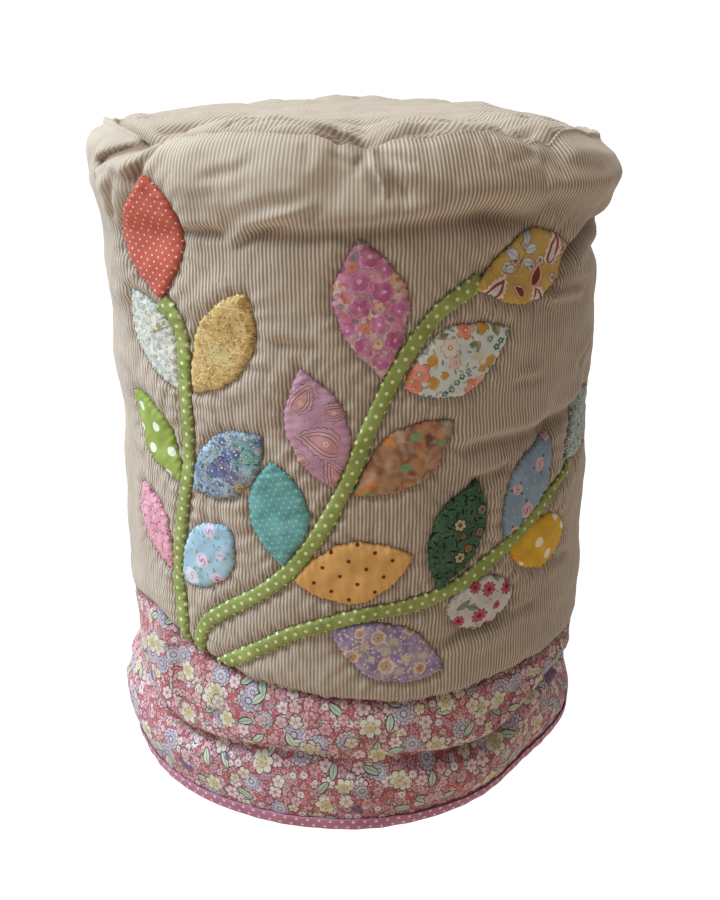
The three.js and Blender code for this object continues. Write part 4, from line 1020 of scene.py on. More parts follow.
def binding_piece(material):
    a = COLUMN_AZIMUTHS[:, None]
    top = BINDING_HEIGHT + 0.3 * round_waves(a, 0 * a, 21, 41, 5)
    out = GAP + TAPE
    # a rounded section: up the outside, over the top edge, down, and up again on the inside
    angle = np.linspace(-0.5, 0.5, 9)[None, :] * math.pi  # half circle at the fold, bottom outwards
    half = (2 * out + BAND) / 2
    rows_r, rows_z = [], []
    for t in np.linspace(0.14, 1, 9):
        zz = top * t
        bulge = 0.35 * math.sin(math.pi * t)
        rows_r.append(hem_radius(a, zz) + out + bulge)
        rows_z.append(zz)
    rows_r.append(hem_radius(a, top) + out - 0.55)
    rows_z.append(top + 0.12)
    rows_r.append(hem_radius(a, top) + GAP - 0.1)
    rows_z.append(top - 0.5)
    rows_r.append(hem_radius(a, top * 0.3) + GAP)
    rows_z.append(top * 0.24)
    rows_r.append(hem_radius(a, top * 0.3) - BAND - GAP)
    rows_z.append(top * 0.24)
    rows_r.append(hem_radius(a, top) - BAND - GAP + 0.1)
    rows_z.append(top - 0.5)
    for t in (1.0, 0.8, 0.55, 0.3, 0.14):
        rows_r.append(hem_radius(a, top * t) - BAND - out - 0.3 * math.sin(math.pi * t))
        rows_z.append(top * t)
    middle = hem_radius(a, 0 * top) - BAND / 2
    for t in np.linspace(-1, 1, 9)[1:-1]:
        rows_r.append(middle + half * math.sin(math.pi / 2 * t))
        rows_z.append(top * 0.14 * (1 - math.cos(math.pi / 2 * t)))
    radius, height = np.concatenate(rows_r, axis=1), np.concatenate(rows_z, axis=1)
    height = height - height.min()
    points = place(radius, a * np.ones_like(radius), height)
    columns = np.concatenate([COLUMN_AZIMUTHS, [COLUMN_AZIMUTHS[0] + 360]])[:, None]
    run = np.concatenate([[0], np.cumsum(np.hypot(np.diff(radius.mean(0)), np.diff(height.mean(0))))])[None, :]
    u = np.radians(columns) * 148 / 10 + 0 * with_last(height)
    uv = ring_uvs(u, (run + 0 * u * 10) / 10)
    return make("hem_tape", points.reshape(-1, 3), ring_faces(N_COLUMNS, radius.shape[1]), uv, [material])


def over_wall(points, lift):
    """(u, z) points of the applique, lift mm above the folds of the wall."""
    a = np.degrees(points[..., 0] / APPLIQUE_RADIUS)
    z = points[..., 1]
    return place(wall_cloth(a, z) + lift, a, z)


def slab(name, grid, upper, lower, uv, material):
    """A closed piece from a grid of (u, z), with its face and its back at those lifts."""
    n, m = grid.shape[:2]
    top, back = over_wall(grid, upper), over_wall(grid, lower)
    points = np.vstack([top.reshape(-1, 3), back.reshape(-1, 3)])
    i = np.arange(n - 1)[:, None]
    k = np.arange(m - 1)[None, :]
    quad = np.stack([i * m + k, i * m + k + 1, (i + 1) * m + k + 1, (i + 1) * m + k], axis=-1).reshape(-1, 4)
    under = quad[:, ::-1] + n * m
    border = np.concatenate(
        [
            np.arange(m),
            np.arange(1, n) * m + m - 1,
            (n - 1) * m + np.arange(m - 2, -1, -1),
            np.arange(n - 2, 0, -1) * m,
        ]
    )
    after = np.roll(border, -1)
    rim = np.stack([after, border, border + n * m, after + n * m], axis=1)
    faces = np.vstack([quad, under, rim])
    flat = uv.reshape(-1, 2)
    both = np.vstack([flat, flat])
    return make(name, points, faces, both[faces], [material])


def leaf_piece(leaf, number, material):
    name = leaf[0]
    grid, inner, run, phase = LEAF_GRIDS[name]
    u, z = grid[..., 0], grid[..., 1]
    stem = to_stems(grid.reshape(-1, 2)).reshape(inner.shape)
    lift = -0.75 + 1.75 * (1 - np.exp(-inner / 1.1)) + 0.4 * (1 - np.exp(-inner / 8.0))
    wave = np.cos(2 * math.pi * run[:, None] / SCALLOP + np.where(ACROSS[None, :] < 0, phase[0], phase[1]))
    lift = lift + 0.34 * wave * np.exp(-inner / 3.6) * (1 - np.exp(-inner / 0.8))
    gathers = round_waves(np.degrees(u / APPLIQUE_RADIUS), z, 12, 200 + number, 9, 0.45)
    lift = lift + 0.32 * gathers * (1 - np.exp(-inner / 3.0))
    if name == "leaf_coral":  # a fold of the wall runs on across it
        lift = lift - 1.5 * np.exp(-(((z - 343.5 - 0.04 * (u + 108)) / 3.2) ** 2)) * (1 - np.exp(-inner / 3))
        lift = lift + 0.7 * np.exp(-(((z - 350) / 4.5) ** 2)) * (1 - np.exp(-inner / 3))
    if name == "leaf_amber":  # thin cloth, gathered where it meets the stem
        fan = np.sin((u + 14) * 0.9 - 0.35 * (z - 215))
        lift = lift + 0.5 * fan * np.exp(-run[:, None] / 26) * (1 - np.exp(-inner / 2))
    if name == "leaf_mustard":
        lift = lift + 0.5
    if name in OVER_STEM:
        lift = lift + 2.3 * np.exp(-((np.maximum(stem - 3.6, 0) / 3.0) ** 2)) * np.exp(-run[:, None] / 14)
    else:
        lift = lift - 0.9 * np.exp(-((np.maximum(stem - 2.7, 0) / 2.2) ** 2))
    lower = np.minimum(lift - 0.5, -0.55)
    middle = grid.reshape(-1, 2).mean(axis=0)
    uv = (grid - np.array([(leaf[1] + leaf[3]) / 2, (leaf[2] + leaf[4]) / 2])) / 10
    return slab(name.replace("leaf_", "applique_"), grid, lift, lower, uv, material)


def stem_piece(number, material):
    line, s = STEM_LINES[number]
    right = frames(line)
    rng = np.random.default_rng(300 + number)
    w = np.sin(np.linspace(-1, 1, 15) * math.pi / 2)
    p = rng.uniform(0, 6.283, 4)
    half = STEM_WIDTH / 2 + STEM_EXTRA[number](s, s[-1])
    left_half = half + 0.3 * np.cos(2 * math.pi * s / 5.1 + p[0]) + 0.25 * np.sin(s / 6.1 + p[1])
    right_half = half + 0.34 * np.cos(2 * math.pi * s / 4.7 + p[2]) + 0.25 * np.sin(s / 7.3 + p[3])
    offset = np.where(w[None, :] < 0, w[None, :] * left_half[:, None], w[None, :] * right_half[:, None])
    grid = line[:, None, :] + offset[..., None] * right[:, None, :]
    inner = (1 - np.abs(w))[None, :] * half[:, None]
    ends = np.minimum(s, s[-1] - s)[:, None]
    lift = -0.6 + 1.7 * (1 - np.exp(-inner / 0.6)) + 0.12 * (1 - np.exp(-inner / 4.0))
    wave = np.cos(2 * math.pi * s[:, None] / 5.1 + p[0] + 1.2 * w[None, :]) + 0.7 * np.cos(
        2 * math.pi * s[:, None] / 7.7 + p[2] - 1.5 * w[None, :]
    )
    lift = lift + 0.2 * wave * (0.5 + np.abs(w[None, :])) * (1 - np.exp(-inner / 0.8))
    if number == 0:  # a join in the tape, sewn on the slant
        joint = (s[:, None] - 44.0) - 0.6 * offset
        lift = lift - 0.55 * np.exp(-((joint / 0.9) ** 2))
    lift = lift - 0.8 * np.exp(-((ends / 1.5) ** 2))
    along = s[:, None] + 0 * w[None, :]
    uv = np.stack([along / 10, offset / 10], axis=-1)
    return slab(STEMS[number][0] + "_tape", grid, lift, np.minimum(lift - 0.5, -0.55), uv, material)


def stitches_piece(material):
    """Short threads that hold down the edges of the leaves and stems, as one piece."""
    rng = np.random.default_rng(9)
    starts, ends = [], []
    for number, edge in enumerate(EDGES):
        n = int(edge[-1, 2] / 3.1)
        at = (np.arange(n) + 0.5) * edge[-1, 2] / n + rng.uniform(-0.4, 0.4, n)
        u, z = np.interp(at, edge[:, 2], edge[:, 0]), np.interp(at, edge[:, 2], edge[:, 1])
        du = np.interp(at + 0.5, edge[:, 2], edge[:, 0]) - np.interp(at - 0.5, edge[:, 2], edge[:, 0])
        dz = np.interp(at + 0.5, edge[:, 2], edge[:, 1]) - np.interp(at - 0.5, edge[:, 2], edge[:, 1])
        length = np.maximum(np.hypot(du, dz), 1e-6)
        normal = np.stack([dz / length, -du / length], axis=1)
        along = np.stack([du / length, dz / length], axis=1)
        slant = along * rng.uniform(0.1, 0.45, n)[:, None]
        middle = np.stack([u, z], axis=1)
        starts.append(middle - normal * 0.5 - slant)
        ends.append(middle + normal * 0.5 + slant)
    starts, ends = np.vstack(starts), np.vstack(ends)
    keep = np.ones(len(starts), bool)
    middle = (starts + ends) / 2
    for outline in SHAPES:  # none where another piece covers the edge
        small = middle.mean(axis=0) * 0 + outline.mean(axis=0)
        shrunk = small + (outline - small) * 0.93
        keep &= ~inside(middle, shrunk)
    starts, ends = starts[keep], ends[keep]
    n = len(starts)
    sides, rings = 5, 4
    t = np.array([0.0, 0.33, 0.67, 1.0])
    centre = starts[:, None, :] + (ends - starts)[:, None, :] * t[None, :, None]
    lift = np.array([-0.6, 0.45, 0.45, -0.6])[None, :] + 0 * centre[..., 0]
    spine = over_wall(centre, lift)
    direction = spine[:, -1] - spine[:, 0]
    direction /= np.linalg.norm(direction, axis=1)[:, None]
    a = np.radians(np.degrees(middle[keep][:, 0] / APPLIQUE_RADIUS))
    out = np.stack([np.sin(a), -np.cos(a), 0 * a], axis=1)
    across = np.cross(direction, out)
    across /= np.linalg.norm(across, axis=1)[:, None]
    radius = 0.16
    angle = np.arange(sides) / sides * 2 * math.pi
    ring = (
        spine[:, :, None, :]
        + radius * np.cos(angle)[None, None, :, None] * across[:, None, None, :]
        + radius * np.sin(angle)[None, None, :, None] * out[:, None, None, :]
    )
    points = ring.reshape(-1, 3)
    base = (np.arange(n) * rings * sides)[:, None, None]
    k = np.arange(rings - 1)[None, :, None]
    i = np.arange(sides)[None, None, :]
    j = (i + 1) % sides
    quads = np.stack(
        [base + k * sides + i, base + k * sides + j, base + (k + 1) * sides + j, base + (k + 1) * sides + i], axis=-1
    ).reshape(-1, 4)
    caps = []
    first = base[:, 0, 0][:, None]
    for p, q in ((1, 2), (2, 3), (3, 4)):
        caps.append(first + np.array([[0, q, p]]))
        caps.append(first + (rings - 1) * sides + np.array([[0, p, q]]))
    caps = np.vstack(caps)
    zero = np.zeros((len(points), 2))
    return make("thread", points, [quads, caps], [zero[quads], zero[caps]], [material])


# ------------------------------------------------------------------ cloth
def linear(c):
    return tuple(((v / 255 + 0.055) / 1.055) ** 2.4 if v > 10 else v / 255 / 12.92 for v in c) + (1.0,)


class Print:
    """Builds the pattern of one cloth from its UV map, which is in centimetres (u, v)."""

    def __init__(self, name, roughness=0.9, sheen=0.06):
        self.material = bpy.data.materials.new(name)
        self.material.use_nodes = True
        self.tree = self.material.node_tree
        self.shader = self.tree.nodes["Principled BSDF"]
        self.shader.inputs["Roughness"].default_value = roughness
        self.shader.inputs["Specular IOR Level"].default_value = 0.18
        self.shader.inputs["Sheen Weight"].default_value = sheen
        self.shader.inputs["Sheen Roughness"].default_value = 0.6
        node = self.tree.nodes.new("ShaderNodeUVMap")
        node.uv_map = "UVMap"
        self.uv = node.outputs[0]
        self.bumps = []

    def put(self, socket, value):
        if hasattr(value, "is_linked") or isinstance(value, bpy.types.NodeSocket):
            self.tree.links.new(value, socket)
        elif isinstance(value, (tuple, list)):
            size = len(socket.default_value)
            socket.default_value = (tuple(value) + (1.0,) * size)[:size]
        else:
            socket.default_value = value

    def math(self, kind, a, b=None, c=None, clamp=False):
        node = self.tree.nodes.new("ShaderNodeMath")
        node.operation = kind
        node.use_clamp = clamp
        for socket, value in zip(node.inputs, (a, b, c)):
            if value is not None:
                self.put(socket, value)
        return node.outputs[0]

    def vector(self, kind, a, b=None, scale=None):
        node = self.tree.nodes.new("ShaderNodeVectorMath")
        node.operation = kind
        self.put(node.inputs[0], a)
        if b is not None:
            self.put(node.inputs[1], b)
        if scale is not None:
            self.put(node.inputs["Scale"], scale)
        return node.outputs["Value"] if kind in ("LENGTH", "DISTANCE", "DOT_PRODUCT") else node.outputs["Vector"]

    def split(self, v):
        node = self.tree.nodes.new("ShaderNodeSeparateXYZ")
        self.put(node.inputs[0], v)
        return node.outputs[0], node.outputs[1], node.outputs[2]

    def join(self, x, y, z=0.0):
        node = self.tree.nodes.new("ShaderNodeCombineXYZ")
        for socket, value in zip(node.inputs, (x, y, z)):
            self.put(socket, value)
        return node.outputs[0]

    def mix(self, share, a, b, blend="MIX"):
        node = self.tree.nodes.new("ShaderNodeMix")
        node.data_type = "RGBA"
        node.blend_type = blend
        node.clamp_factor = True
        self.put(node.inputs["Factor"], share)
        self.put(node.inputs[6], a)
        self.put(node.inputs[7], b)
        return node.outputs[2]

    def step(self, x, low, high):
        """0 below low, 1 above high; falls if low is the larger."""
        node = self.tree.nodes.new("ShaderNodeMapRange")
        node.interpolation_type = "SMOOTHSTEP"
        self.put(node.inputs["Value"], x)
        if isinstance(low, (int, float)) and isinstance(high, (int, float)) and low > high:
            node.inputs["From Min"].default_value = high
            node.inputs["From Max"].default_value = low
            node.inputs["To Min"].default_value = 1.0
            node.inputs["To Max"].default_value = 0.0
        else:
            self.put(node.inputs["From Min"], low)
            self.put(node.inputs["From Max"], high)
        return node.outputs[0]

    def noise(self, v, scale, detail=2.0, rough=0.5, distortion=0.0, colour=False):
        node = self.tree.nodes.new("ShaderNodeTexNoise")
        node.noise_dimensions = "3D"
        self.put(node.inputs["Vector"], v)
        node.inputs["Scale"].default_value = scale
        node.inputs["Detail"].default_value = detail
        node.inputs["Roughness"].default_value = rough
        node.inputs["Distortion"].default_value = distortion
        return node.outputs["Color"] if colour else node.outputs["Fac"]

    def cells(self, v, scale, randomness=1.0, feature="F1"):
        node = self.tree.nodes.new("ShaderNodeTexVoronoi")
        node.voronoi_dimensions = "2D"
        node.feature = feature
        self.put(node.inputs["Vector"], v)
        node.inputs["Scale"].default_value = scale
        node.inputs["Randomness"].default_value = randomness
        return node

    def shift(self, v, x, y):
        return self.vector("ADD", v, (x, y, 0.0))

    def turned(self, v, degrees):
        node = self.tree.nodes.new("ShaderNodeVectorRotate")
        node.rotation_type = "Z_AXIS"
        self.put(node.inputs["Vector"], v)
        node.inputs["Angle"].default_value = math.radians(degrees)
        return node.outputs[0]

    def wobble(self, v, amount, scale):
        """v, swayed a little, for a hand-drawn look."""
        n = self.noise(v, scale, 1.0, colour=True)
        n = self.vector("SUBTRACT", n, (0.5, 0.5, 0.5))
        return self.vector("ADD", v, self.vector("SCALE", n, scale=amount))

    def choose(self, x, colours):
        """One of the colours, in even shares of x from 0 to 1."""
        node = self.tree.nodes.new("ShaderNodeValToRGB")
        node.color_ramp.interpolation = "CONSTANT"
        ramp = node.color_ramp.elements
        ramp[0].position, ramp[0].color = 0.0, linear(colours[0])
        ramp[1].position, ramp[1].color = 1 / len(colours), linear(colours[1])
        for k, c in enumerate(colours[2:], 2):
            e = ramp.new(k / len(colours))
            e.color = linear(c)
        self.put(node.inputs[0], x)
        return node.outputs[0]

    def share(self, name):
        node = self.tree.nodes.new("ShaderNodeAttribute")
        node.attribute_name = name
        return node.outputs["Fac"]

    def relief(self, height, strength, distance=0.0003):
        self.bumps.append((height, strength, distance))

    def finish(self, colour, weave=0.25, folds=0.0):
        """Links the colour and the small relief: the threads of the weave and anything asked for.
        With folds, cloth deep in a fold is painted darker and browner: painted shade for the fold, read from the 'deep'
        share."""
        if folds:
            # painted shade: the colour is multiplied towards dark brown by the 'deep' share, in creases, folds, seams
            # and hollows
            deep = self.math("MULTIPLY", self.share("deep"), folds)
            colour = self.mix(deep, colour, self.mix(1.0, colour, (0.36, 0.25, 0.19, 1.0), "MULTIPLY"))
        fuzz = self.noise(self.uv, 34.0, 3.0, 0.6)
        shade = self.math("MULTIPLY_ADD", fuzz, 0.22, 0.89)
        broad = self.math("MULTIPLY_ADD", self.noise(self.uv, 0.55, 3.0), 0.16, 0.92)
        grey = self.math("MULTIPLY", shade, broad)
        colour = self.mix(1.0, colour, self.join(grey, grey, grey), "MULTIPLY")
        self.put(self.shader.inputs["Base Color"], colour)
        normal = None
        self.relief(self.noise(self.uv, 24.0, 3.0, 0.65), weave, 0.0004)
        for height, strength, distance in self.bumps:
            node = self.tree.nodes.new("ShaderNodeBump")
            node.inputs["Strength"].default_value = strength
            node.inputs["Distance"].default_value = distance
            self.put(node.inputs["Height"], height)
            if normal is not None:
                self.put(node.inputs["Normal"], normal)
            normal = node.outputs[0]
        self.put(self.shader.inputs["Normal"], normal)
        return self.material

    # ---- motifs; each takes the pattern so far and returns it with the motif printed over it
    def dot(self, under, v, x, y, radius, colour, squash=1.0, angle=0.0, soft=0.012):
        local = self.shift(v, -x, -y)
        if angle:
            local = self.turned(local, -angle)
        if squash != 1.0:
            local = self.vector("MULTIPLY", local, (1.0, 1.0 / squash, 1.0))
        r = self.vector("LENGTH", local)
        return self.mix(self.step(r, radius + soft, radius - soft), under, linear(colour))

    def rows_of_dots(self, under, v, pitch_x, pitch_y, radius, colour, stagger=0.5, soft=0.01, jitter=0.0):
        x, y, _ = self.split(v)
        row = self.math("DIVIDE", y, pitch_y)
        odd = self.math("FLOORED_MODULO", self.math("FLOOR", row), 2.0)
        fx = self.math("FRACT", self.math("ADD", self.math("DIVIDE", x, pitch_x), self.math("MULTIPLY", odd, stagger)))
        fy = self.math("FRACT", row)
        dx = self.math("MULTIPLY", self.math("SUBTRACT", fx, 0.5), pitch_x)
        dy = self.math("MULTIPLY", self.math("SUBTRACT", fy, 0.5), pitch_y)
        r = self.vector("LENGTH", self.join(dx, dy))
        if jitter:
            r = self.math("ADD", r, self.math("MULTIPLY", self.math("SUBTRACT", self.noise(v, 6.0), 0.5), jitter))
        return self.mix(self.step(r, radius + soft, radius - soft), under, linear(colour))

    def petals(self, local, count, angle=0.0, pinch=0.3):
        """Distance from the middle over the length of a petal in that direction, and the angle."""
        x, y, _ = self.split(local)
        around = self.math("ADD", self.math("ARCTAN2", y, x), angle)
        wave = self.math("ABSOLUTE", self.math("COSINE", self.math("MULTIPLY", around, count / 2)))
        reach = self.math("MULTIPLY_ADD", self.math("POWER", wave, 0.6), pinch, 1 - pinch)
        r = self.vector("LENGTH", local)
        return self.math("DIVIDE", r, reach), r, around

    def flower(self, under, v, x, y, size, petal, centre, line=None, count=5, angle=0.0, pinch=0.3, core=0.26, edge=0.14, streak=None):
        """A flat flower of that radius in cm, with an outline if line is given."""
        local = self.shift(v, -x, -y)
        reach, r, around = self.petals(local, count, math.radians(angle), pinch)
        if line is not None:
            under = self.mix(self.step(reach, size * (1 + edge) + 0.008, size * (1 + edge) - 0.008), under, linear(line))
        body = linear(petal)
        if streak is not None:
            ray = self.step(self.math("COSINE", self.math("MULTIPLY", around, float(count))), 0.55, 0.95)
            inner = self.step(r, size * 0.75, size * 0.25)
            body = self.mix(self.math("MULTIPLY", ray, inner), body, linear(streak))
        under = self.mix(self.step(reach, size + 0.01, size - 0.01), under, body)
        if line is not None:
            under = self.mix(self.step(r, size * (core + 0.1) + 0.006, size * (core + 0.1) - 0.006), under, linear(line))
        return self.mix(self.step(r, size * core + 0.008, size * core - 0.008), under, linear(centre))

    def blade(self, under, v, x, y, length, width, angle, colour, line=None, vein=None):
        """A pointed leaf, its middle at x, y, with an outline and a vein if asked for."""
        local = self.turned(self.shift(v, -x, -y), -angle)
        lx, ly, _ = self.split(local)
        along = self.math("DIVIDE", lx, length / 2)
        body = self.math("SUBTRACT", 1.0, self.math("MULTIPLY", along, along))
        body = self.math("MULTIPLY", self.math("MAXIMUM", body, 0.0), width / 2)
        off = self.math("SUBTRACT", self.math("ABSOLUTE", ly), body)
        if line is not None:
            ends = self.step(self.math("ABSOLUTE", lx), length / 2 + 0.03, length / 2)
            under = self.mix(self.math("MULTIPLY", self.step(off, 0.034, 0.022), ends), under, linear(line))
        ends = self.step(self.math("ABSOLUTE", lx), length / 2, length / 2 - 0.02)
        fill = self.math("MULTIPLY", self.step(off, 0.004, -0.010), ends)
        under = self.mix(fill, under, linear(colour))
        if vein is not None:
            mid = self.step(self.math("ABSOLUTE", ly), 0.018, 0.006)
            under = self.mix(self.math("MULTIPLY", mid, fill), under, linear(vein))
        return under

    def scatter(self, under, v, scale, size, petals_colours, centre, line=None, count=5, randomness=0.75, pinch=0.32, seed=0.0, core=0.28, keep=1.0, edge=0.16, vary=0.35, dark=1.0):
        """Small flowers all over, one in each cell; size is a share of the cell."""
        moved = self.shift(v, seed * 1.37 + 0.11, seed * 0.73 + 0.07)
        node = self.cells(moved, scale, randomness)
        local = self.vector("SCALE", self.vector("SUBTRACT", moved, node.outputs["Position"]), scale=scale)
        chance_a, chance_b, chance_c = self.split(node.outputs["Color"])
        turn_by = self.math("MULTIPLY", chance_a, 6.283)
        x, y, _ = self.split(local)
        around = self.math("ADD", self.math("ARCTAN2", y, x), turn_by)
        wave = self.math("ABSOLUTE", self.math("COSINE", self.math("MULTIPLY", around, count / 2)))
        reach = self.math("MULTIPLY_ADD", self.math("POWER", wave, 0.6), pinch, 1 - pinch)
        r = self.vector("LENGTH", local)
        grown = self.math("MULTIPLY", self.math("MULTIPLY_ADD", chance_b, vary, 1 - vary / 2), size)
        share = self.math("DIVIDE", self.math("DIVIDE", r, reach), grown)
        on = self.step(chance_c, keep + 0.0005, keep) if keep < 1 else 1.0
        soft = 0.05
        if line is not None:
            mask = self.step(share, 1 + edge + soft, 1 + edge - soft)
            under = self.mix(self.math("MULTIPLY", mask, on), under, linear(line))
        body = self.choose(chance_b, petals_colours) if len(petals_colours) > 1 else linear(petals_colours[0])
        mask = self.math("MULTIPLY", self.step(share, 1 + soft, 1 - soft), on)
        under = self.mix(mask, under, body)
        if line is not None:
            # fine lines between the petals
            rays = self.step(self.math("COSINE", self.math("MULTIPLY", around, float(count))), -0.72, -0.97)
            inner = self.step(share, 0.9, 0.6)
            under = self.mix(self.math("MULTIPLY", self.math("MULTIPLY", rays, inner), self.math("MULTIPLY", on, 0.8)), under, linear(line))
        near = self.math("DIVIDE", r, grown)
        if line is not None:
            ring = self.math("MULTIPLY", self.step(near, core + 0.16, core + 0.06), self.math("MULTIPLY", on, dark))
            under = self.mix(ring, under, linear(line))
        eye = self.math("MULTIPLY", self.step(near, core + 0.04, core - 0.04), on)
        return self.mix(eye, under, linear(centre))

    def mottle(self, under, scale, amount, colour, seed=0.0):
        """Uneven colour, as where dye has gone on by brush."""
        blots = self.noise(self.wobble(self.shift(self.uv, seed, seed * 0.6), 0.2, 2.0), scale, 2.0, 0.5, 0.4)
        return self.mix(self.math("MULTIPLY", self.step(blots, 0.42, 0.66), amount), under, linear(colour))

    def sprigs(self, under, v, scale, length, width, colours, line=None, randomness=0.85, seed=0.0, keep=1.0):
        """Small pointed leaves all over, turned every way; length and width are shares of the cell."""
        moved = self.shift(v, seed * 0.91 + 0.31, seed * 1.17 + 0.23)
        node = self.cells(moved, scale, randomness)
        local = self.vector("SCALE", self.vector("SUBTRACT", moved, node.outputs["Position"]), scale=scale)
        chance_a, chance_b, chance_c = self.split(node.outputs["Color"])
        angle = self.math("MULTIPLY", chance_a, 6.283)
        x, y, _ = self.split(local)
        c, s = self.math("COSINE", angle), self.math("SINE", angle)
        lx = self.math("ADD", self.math("MULTIPLY", x, c), self.math("MULTIPLY", y, s))
        ly = self.math("SUBTRACT", self.math("MULTIPLY", y, c), self.math("MULTIPLY", x, s))
        along = self.math("DIVIDE", lx, length / 2)
        body = self.math("MAXIMUM", self.math("SUBTRACT", 1.0, self.math("MULTIPLY", along, along)), 0.0)
        body = self.math("MULTIPLY", body, width / 2)
        off = self.math("SUBTRACT", self.math("ABSOLUTE", ly), body)
        on = self.step(chance_c, keep + 0.0005, keep) if keep < 1 else 1.0
        ends = self.math("MULTIPLY", self.step(self.math("ABSOLUTE", lx), length / 2 + 0.02, length / 2 - 0.02), on)
        if line is not None:
            under = self.mix(self.math("MULTIPLY", self.step(off, 0.065, 0.035), ends), under, linear(line))
        body_colour = self.choose(chance_b, colours) if len(colours) > 1 else linear(colours[0])
        fill = self.math("MULTIPLY", self.step(off, 0.01, -0.02), ends)
        under = self.mix(fill, under, body_colour)
        if line is not None:
            vein = self.step(self.math("ABSOLUTE", ly), 0.03, 0.01)
            under = self.mix(self.math("MULTIPLY", self.math("MULTIPLY", vein, fill), 0.6), under, linear(line))
        return under

    def specks(self, under, v, scale, size, colours, randomness=1.0, seed=0.0, keep=1.0, ring=None):
        moved = self.shift(v, seed * 0.57 + 0.19, seed * 1.31 + 0.41)
        node = self.cells(moved, scale, randomness)
        _, chance_b, chance_c = self.split(node.outputs["Color"])
        d = node.outputs["Distance"]
        on = self.step(chance_c, keep + 0.0005, keep) if keep < 1 else 1.0
        body = self.choose(chance_b, colours) if len(colours) > 1 else linear(colours[0])
        if ring is not None:
            under = self.mix(self.math("MULTIPLY", self.step(d, size * 1.45 + 0.02, size * 1.45 - 0.02), on), under, linear(ring))
        return self.mix(self.math("MULTIPLY", self.step(d, size + 0.03, size - 0.03), on), under, body)

    def patches(self, v, scale, colours, detail=1.0, seed=0.0):
        """Soft patches of the colours."""
        n = self.noise(self.shift(v, seed * 3.1, seed * 1.7), scale, detail, 0.5)
        node = self.tree.nodes.new("ShaderNodeValToRGB")
        node.color_ramp.interpolation = "EASE"
        ramp = node.color_ramp.elements
        spots = np.linspace(0.32, 0.68, len(colours))
        ramp[0].position, ramp[0].color = spots[0], linear(colours[0])
        ramp[1].position, ramp[1].color = spots[-1], linear(colours[-1])
        for at, c in zip(spots[1:-1], colours[1:-1]):
            e = ramp.new(at)
            e.color = linear(c)
        self.put(node.inputs[0], n)
        return node.outputs[0]


def striped_cotton(name, cream, taupe, uneven=0.1):
    """Ticking of fine woven stripes: u counts the stripes, v is in centimetres."""
    p = Print(name, 0.92, 0.16)
    x, y, _ = p.split(p.uv)
    thread = p.noise(p.join(p.math("MULTIPLY", x, 3.0), p.math("MULTIPLY", y, 1.6)), 1.0, 2.0)
    x2 = p.math("ADD", x, p.math("MULTIPLY", p.math("SUBTRACT", thread, 0.5), uneven))
    f = p.math("ABSOLUTE", p.math("SUBTRACT", p.math("FRACT", x2), 0.5))  # 0 in the middle of a taupe stripe
    band = p.step(f, 0.2, 0.36)
    # painted glare: the 'faint' share pulls the stripes towards one mid tone where light washes them out
    faint = p.share("faint")
    band = p.math("MULTIPLY_ADD", p.math("SUBTRACT", 0.6, band), p.math("MULTIPLY", faint, 0.75), band)
    each = p.noise(p.join(p.math("FLOOR", x2), 0.0, 0.0), 7.3, 0.0)
    taupe_2 = p.mix(p.math("MULTIPLY", each, 0.55), linear(taupe), linear(tuple(0.86 * c for c in taupe)))
    slub = p.step(p.noise(p.join(p.math("MULTIPLY", x, 2.0), p.math("MULTIPLY", y, 0.7)), 1.4, 2.0), 0.52, 0.7)
    taupe_2 = p.mix(p.math("MULTIPLY", slub, 0.25), taupe_2, linear(cream))
    colour = p.mix(band, taupe_2, linear(cream))
    p.relief(band, 0.35, 0.00035)
    # the shared small relief is finer along the stripes than across them
    p.uv = p.join(p.math("MULTIPLY", x, 0.2), y)
    # 0.8 of the painted fold shade
    return p.finish(colour, 0.2, 0.8)


def plain(name, colour):
    p = Print(name)
    return p.finish(linear(colour))


# ------------------------------------------------------------------ the prints
# Places are in centimetres from the middle of each piece, x to the right and y up.
CLOTH = {}


